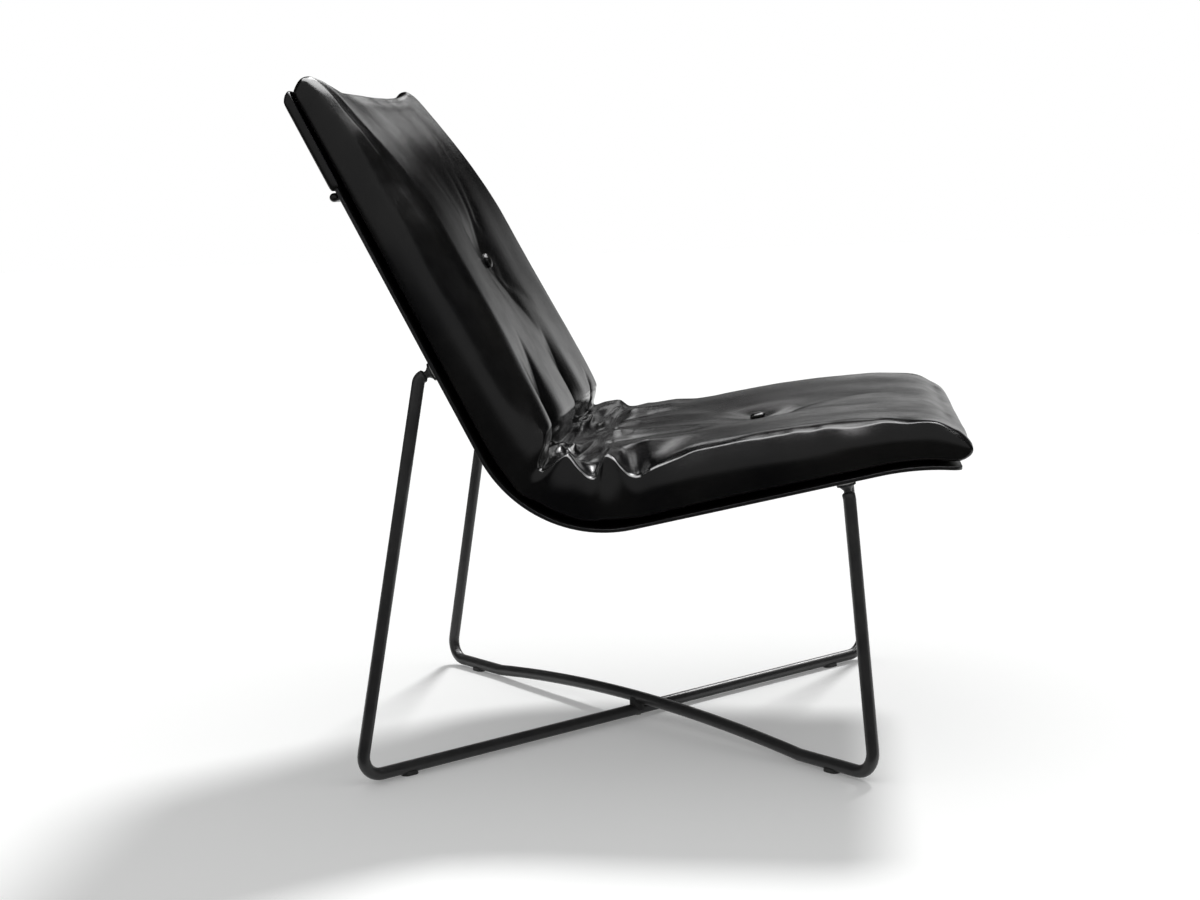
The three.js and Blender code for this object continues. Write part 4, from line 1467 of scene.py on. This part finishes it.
@dataclass
class Base:
    """Two bent rods that cross on the floor, and the turned bosses and washers that carry the shell."""

    line: SideLine
    shell_thickness: float = 0.004
    shell_half: float = 0.295
    rod: float = 0.015
    foot_half_width: float = 0.308
    foot_half_depth: float = 0.299
    glide: float = 0.002
    foot_bend: float = 0.026
    top_bend: float = 0.010
    corner_offset: float = 0.0205
    arch_rise: float = 0.0167
    arch_inset: float = 0.124
    mount_inset: float = 0.014
    rear_rise: float = 0.112
    front_reach: float = 0.247
    rod_end: float = 0.0125
    chamfer: float = 0.0015
    clearance: float = 0.0003
    washer: Span = (0.0100, 0.0016)
    boss: float = 0.011
    boss_rim: float = 0.002
    boss_flare: float = 0.005
    boss_neck: float = 0.003
    neck: float = 0.0045
    bore: float = 0.003
    neck_bore: float = 0.001
    soft: float = 0.0003
    soft_middle: float = 0.3
    arch_steps: int = 40
    steps: int = 48

    def mount(self, end: End, side: int, depth: float) -> Vector:
        """Point below the shell at a mount.

        Args:
            end: the end of the shell.
            side: -1 for the sitter's right, 1 for the left.
            depth: way out from the shell's outer face.

        Returns:
            The point.
        """
        x = side * (self.shell_half - self.mount_inset)
        return self.line.point(x, self._run(end), -self.shell_thickness - depth)

    def _run(self, end: End) -> float:
        """Run of a mount."""
        line = self.line
        return line.back_length - self.rear_rise if end is End.REAR else line.bend_end + self.front_reach

    def _route(self, rear_side: int, arched: bool) -> list[tuple[Vector, float]]:
        """Way of a rod from its rear mount to its front one.

        Args:
            rear_side: -1 for a rear leg on the sitter's right, 1 for the left.
            arched: whether the rod arches over the other.

        Returns:
            The rod's points, each with its share of the full radius.
        """
        height = self.glide + self.rod / 2
        feet = [
            Vector((rear_side * self.foot_half_width, self.line.axis_y + self.foot_half_depth, height)),
            Vector((-rear_side * self.foot_half_width, self.line.axis_y - self.foot_half_depth, height)),
        ]
        middle = []
        if arched:
            way = (feet[1] - feet[0]).normalized() * self.arch_inset
            first, last = feet[0] + way, feet[1] - way
            for step in range(self.arch_steps + 1):
                share = step / self.arch_steps
                lift = self.arch_rise * (1 - (2 * share - 1) ** 2)
                middle.append(first.lerp(last, share) + Z_AXIS * lift)
        sides = ((End.REAR, rear_side), (End.FRONT, -rear_side))
        ends = [self.mount(end, side, self.rod_end) for end, side in sides]
        tops = [self.mount(end, side, self.corner_offset) for end, side in sides]
        points = fillet(ends[0], tops[0], feet[0], self.top_bend)
        points += fillet(tops[0], feet[0], feet[1], self.foot_bend) + middle
        points += fillet(feet[0], feet[1], tops[1], self.foot_bend)
        points += fillet(feet[1], tops[1], ends[1], self.top_bend)
        inner = [ends[i] + (tops[i] - ends[i]).normalized() * self.chamfer for i in (0, 1)]
        blunt = 1 - self.chamfer / (self.rod / 2)
        route = [(ends[0], blunt), (inner[0], 1.0)] + [(point, 1.0) for point in points]
        return route + [(inner[1], 1.0), (ends[1], blunt)]

    def rods(self) -> list[bpy.types.Object]:
        """Builds the two rods in place of the frame's."""
        pieces = []
        for name, node, side, arched in (
            ("low_rod", "base_rod_low", -1, False), ("arched_rod", "base_rod_arched", 1, True)
        ):
            piece = tube(name, self._route(side, arched), self.rod / 2)
            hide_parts(node)
            pieces.append(piece)
        return pieces

    def fittings(self, kind: Fitting) -> list[bpy.types.Object]:
        """Builds the four pieces of one kind in place of the frame's.

        Args:
            kind: bosses or washers.

        Returns:
            The pieces.
        """
        outline = self._boss() if kind is Fitting.BOSS else self._washer()
        pieces = []
        for end, side in product(End, Side):
            bm = turned(outline, self.steps)
            x = side.value * (self.shell_half - self.mount_inset)
            place = self.line.onto(x, self._run(end), -self.shell_thickness, side=-1)
            bmesh.ops.transform(bm, matrix=place, verts=bm.verts[:])
            word = side.name.lower()
            piece = keep_piece(bm, f"{end.value}_{word}_{kind.value}")
            piece.modifiers.new("even shading", "WEIGHTED_NORMAL")
            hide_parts(f"mount_{kind.value}_{end.value}_{word}")
            pieces.append(piece)
        return pieces

    def _flange(self, radius: float, low: float, high: float) -> list[Span]:
        """Outline of a flange from its bore round its softened edge.

        Args:
            radius: the flange's radius.
            low: depth of its first face.
            high: depth of its second face.

        Returns:
            The outline's points, as radius and depth.
        """
        soft, part = self.soft, self.soft_middle * self.soft
        return [
            (self.bore, low),
            (radius - soft, low),
            (radius - part, low + part),
            (radius, low + soft),
            (radius, high - soft),
            (radius - part, high - part),
            (radius - soft, high),
        ]

    def _washer(self) -> list[Span]:
        """Outline of a washer, as radius and depth."""
        radius, thick = self.washer
        high = self.clearance + thick
        return self._flange(radius, self.clearance, high) + [(self.bore, high)]

    def _boss(self) -> list[Span]:
        """Outline of a boss: flange, cone and neck, as radius and depth."""
        low = 2 * self.clearance + self.washer[1]
        rim, soft = low + self.boss_rim, self.soft
        flare = rim + self.boss_flare
        return self._flange(self.boss, low, rim) + [
            (self.boss - self.boss_rim + soft, rim),
            (self.boss - self.boss_rim - soft, rim + soft),
            (self.neck + soft, flare - soft),
            (self.neck, flare + soft),
            (self.neck, flare + self.boss_neck),
            (self.neck_bore, flare + self.boss_neck),
        ]


# Studio


class Facing(Enum):
    """Way that a card faces, by the axis that it is turned about from lying level."""

    UP = ""
    SIDE = "Y"
    END = "X"

    @property
    def turn(self) -> Matrix:
        """Turn from lying level."""
        return Matrix.Rotation(math.pi / 2, 4, self.value) if self.value else Matrix()


@dataclass(frozen=True)
class Patch:
    """Brighter field of a card, with soft edges, between two places along it and two heights."""

    glow: float
    front: float
    rear: float
    low: float
    high: float
    soft: float = 0.2
    soft_top: float = 0.3

    def level(self, graph: NodeGraph, y: object, z: object) -> bpy.types.NodeSocket:
        """Draws the patch in a card's paint.

        Args:
            graph: the paint's graph.
            y: place along the card.
            z: height on the card.

        Returns:
            The glow that the patch adds there.
        """
        along = graph.span(y, self.front, self.front + self.soft, 0.0, self.glow)
        along = graph.math("MULTIPLY", along, graph.span(y, self.rear - self.soft, self.rear, 1.0, 0.0))
        up = graph.span(z, self.low, self.low + self.soft, 0.0, 1.0)
        up = graph.math("MULTIPLY", up, graph.span(z, self.high, self.high + self.soft_top, 1.0, 0.0))
        return graph.math("MULTIPLY", along, up)


@dataclass(frozen=True)
class Card:
    """Card or lamp that only reflections show.

    A card with a rise glows only from one height on, and fully from another. One with a dim end has
    a place along it at which it is dimmed, one at which it isn't, and the share left where it is.
    """

    name: str
    size: Span
    place: Spot
    facing: Facing = Facing.UP
    glow: float = 0.0
    rise: Span | None = None
    dim_end: Spot | None = None
    patches: tuple[Patch, ...] = ()

    def build(self) -> None:
        """Stands the card in its place."""
        bm = bmesh.new()
        bmesh.ops.create_grid(bm, x_segments=1, y_segments=1, size=0.5)
        bmesh.ops.scale(bm, vec=(*self.size, 1), verts=bm.verts[:])
        place = Matrix.Translation(self.place) @ self.facing.turn
        bmesh.ops.transform(bm, matrix=place, verts=bm.verts[:])
        mesh = bpy.data.meshes.new(self.name)
        bm.to_mesh(mesh)
        bm.free()
        mesh.materials.append(self._paint())
        board = bpy.data.objects.new(self.name, mesh)
        bpy.context.scene.collection.objects.link(board)
        board.visible_camera = board.visible_shadow = board.visible_diffuse = False

    def _paint(self) -> bpy.types.Material:
        """Builds the card's paint, which glows."""
        material = bpy.data.materials.new(self.name)
        material.use_nodes = True
        material.node_tree.nodes.clear()
        graph = NodeGraph(material.node_tree)
        place = graph.add("ShaderNodeTexCoord").outputs["Object"]
        axes = graph.add("ShaderNodeSeparateXYZ", Vector=place).outputs
        level = self.glow
        if self.rise:
            level = graph.span(axes["Z"], *self.rise, 0.0, self.glow)
        if self.dim_end:
            level = graph.math("MULTIPLY", level, graph.span(axes["Y"], *self.dim_end, 1.0))
        for patch in self.patches:
            level = graph.math("ADD", level, patch.level(graph, axes["Y"], axes["Z"]))
        glow = graph.add("ShaderNodeEmission", Strength=level)
        graph.add("ShaderNodeOutputMaterial", Surface=glow.outputs[0])
        return material


NEAR_CARD = Card("near_card", (8.0, 16.0), (-1.0, 0.0, 4.0), Facing.SIDE, glow=0.40, rise=(0.42, 0.75))
FAR_CARD = Card(
    "far_card",
    (6.0, 16.0),
    (4.0, 0.0, 3.0),
    Facing.SIDE,
    glow=0.68,
    rise=(1.45, 0.45),
    dim_end=(0.5, -0.6, 0.2),
    patches=(
        Patch(glow=1.0, front=-0.3, rear=0.4, low=1.5, high=2.3),
        Patch(glow=1.7, front=0.35, rear=1.1, low=1.6, high=2.4),
    ),
)


@dataclass(frozen=True)
class Studio:
    """White studio with a soft sun from behind and a camera at the photograph's place."""

    camera_place: Spot = (-2.6335, -0.2210, 0.7064)
    yaw: float = math.radians(6.2613)
    pitch: float = math.radians(7.6614)
    roll: float = math.radians(-2.1472)
    focal_pixels: float = 2086.505
    photo_width: int = 1200
    sensor: float = 36.0
    sky: float = 0.56
    sun: float = 2.1
    sun_from: Spot = (0.62, -0.22, 0.75)
    sun_spread: float = math.radians(10)
    cards: tuple[Card, ...] = (
        NEAR_CARD,
        Card("floor_card", (0.66, 8.0), (-0.67, 0.0, 0.004)),
        Card("ceiling_card", (10.0, 16.0), (0.0, 0.0, 3.0)),
        FAR_CARD,
        Card("front_card", (5.0, 6.0), (0.6, -2.6, 3.0), Facing.END),
        Card("rear_card", (5.0, 6.0), (0.6, 2.6, 3.0), Facing.END),
        Card("softbox", (1.4, 2.8), (0.1, -0.2, 2.7), glow=12.0),
        Card("fill", (1.3, 2.4), (1.5, -0.9, 2.7), glow=3.5),
    )
    floor_size: float = 30.0
    floor_colour: Colour = (0.90, 0.905, 0.90)
    floor_glow: float = 0.11

    def build(self) -> None:
        """Builds the camera, the light, the floor and the cards that reflections show."""
        self._camera()
        self._world()
        lamp = bpy.data.lights.new("sun", "SUN")
        lamp.energy = self.sun
        lamp.angle = self.sun_spread
        sun = bpy.data.objects.new("sun", lamp)
        sun.matrix_world = Vector(self.sun_from).to_track_quat("Z", "Y").to_matrix().to_4x4()
        bpy.context.scene.collection.objects.link(sun)
        self._floor()
        for card in self.cards:
            card.build()
        bpy.context.scene.view_settings.view_transform = "Standard"

    def _camera(self) -> None:
        """Sets the camera from its yaw off +X, its pitch below the horizon and its roll."""
        ahead = Vector((math.cos(self.yaw), math.sin(self.yaw), 0))
        right = Vector((math.sin(self.yaw), -math.cos(self.yaw), 0))
        forward = ahead * math.cos(self.pitch) - Z_AXIS * math.sin(self.pitch)
        upright = ahead * math.sin(self.pitch) + Z_AXIS * math.cos(self.pitch)
        across = right * math.cos(self.roll) + upright * math.sin(self.roll)
        up = upright * math.cos(self.roll) - right * math.sin(self.roll)
        lens = bpy.data.cameras.new("camera")
        lens.sensor_width = self.sensor
        lens.sensor_fit = "HORIZONTAL"
        lens.lens = self.sensor * self.focal_pixels / self.photo_width
        camera = bpy.data.objects.new("camera", lens)
        turn = Matrix((across, up, -forward)).transposed().to_4x4()
        camera.matrix_world = Matrix.Translation(self.camera_place) @ turn
        bpy.context.scene.collection.objects.link(camera)
        bpy.context.scene.camera = camera

    @staticmethod
    def _seen(graph: NodeGraph) -> bpy.types.NodeSocket:
        """Share that is 1 for rays that show the background: camera, glossy and transmission."""
        path = graph.add("ShaderNodeLightPath")
        first = graph.math("MAXIMUM", path.outputs["Is Camera Ray"], path.outputs["Is Glossy Ray"])
        return graph.math("MAXIMUM", first, path.outputs["Is Transmission Ray"])

    def _world(self) -> None:
        """White world that lights the chair at a plain level."""
        world = bpy.data.worlds.new("studio")
        world.use_nodes = True
        world.node_tree.nodes.clear()
        graph = NodeGraph(world.node_tree)
        strength = graph.span(self._seen(graph), 0.0, 1.0, self.sky, 1.0)
        light = graph.add("ShaderNodeBackground", Color=(1, 1, 1, 1), Strength=strength)
        graph.add("ShaderNodeOutputWorld", Surface=light.outputs[0])
        bpy.context.scene.world = world

    def _floor(self) -> None:
        """Pale floor that keeps the chair's shadow."""
        bm = bmesh.new()
        bmesh.ops.create_grid(bm, x_segments=1, y_segments=1, size=self.floor_size / 2)
        mesh = bpy.data.meshes.new("floor")
        bm.to_mesh(mesh)
        bm.free()
        floor = bpy.data.objects.new("floor", mesh)
        bpy.context.scene.collection.objects.link(floor)
        material = bpy.data.materials.new("pale_floor")
        material.use_nodes = True
        material.node_tree.nodes.clear()
        graph = NodeGraph(material.node_tree)
        paint = graph.add("ShaderNodeBsdfDiffuse", Color=rgba(self.floor_colour))
        level = graph.math("MULTIPLY", self._seen(graph), self.floor_glow)
        glow = graph.add("ShaderNodeEmission", Strength=level)
        both = graph.add("ShaderNodeAddShader", in0=paint.outputs[0], in1=glow.outputs[0])
        graph.add("ShaderNodeOutputMaterial", Surface=both.outputs[0])
        mesh.materials.append(material)


def dress_nodes(looks: dict[Slot, bpy.types.Material]) -> None:
    """Gives each of the frame's own solids the finish of its kind, or leather.

    Args:
        looks: the finishes' materials.
    """
    for name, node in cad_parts.items():
        slot = next((slot for word, slot in NODE_SLOTS.items() if word in name), Slot.LEATHER)
        node.data.materials.clear()
        node.data.materials.append(looks[slot])


def main() -> None:
    """Builds the studio and the chair's pieces in order, and reports each piece."""
    logging.basicConfig(level=logging.INFO, format="%(message)s")
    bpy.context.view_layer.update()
    Studio().build()
    line = placed_line(Shell.thickness)
    looks = {slot: finish.build() for slot, finish in FINISHES.items()}
    creased = CREASED_LEATHER.build()
    dress_nodes(looks)
    base, pad = Base(line), Pad(line)
    pieces = [(piece, Slot.ROD) for piece in base.rods() + base.fittings(Fitting.BOSS)]
    pieces += [(piece, Slot.NYLON) for piece in base.fittings(Fitting.WASHER)]
    pieces += [(piece, Slot.LEATHER) for piece in Pocket(line).build()]
    for place, run, top in zip(("back", "seat"), pad.button_runs, pad.button_tops, strict=True):
        button = Button(line, run, top, f"covered_{place}_button", f"{place}_button")
        pieces.append((button.build(), Slot.LEATHER))
    pieces.append((Shell(line).build(), Slot.SHELL))
    for piece, slot in pieces:
        dress(piece, looks[slot])
    cover = pad.build()
    dress(cover, creased)
    for piece, slot in pieces + [(cover, Slot.LEATHER)]:
        LOG.info("%s: %s, %d vertices", piece.name, slot.value, len(piece.data.vertices))


if __name__ == "__main__":
    main()
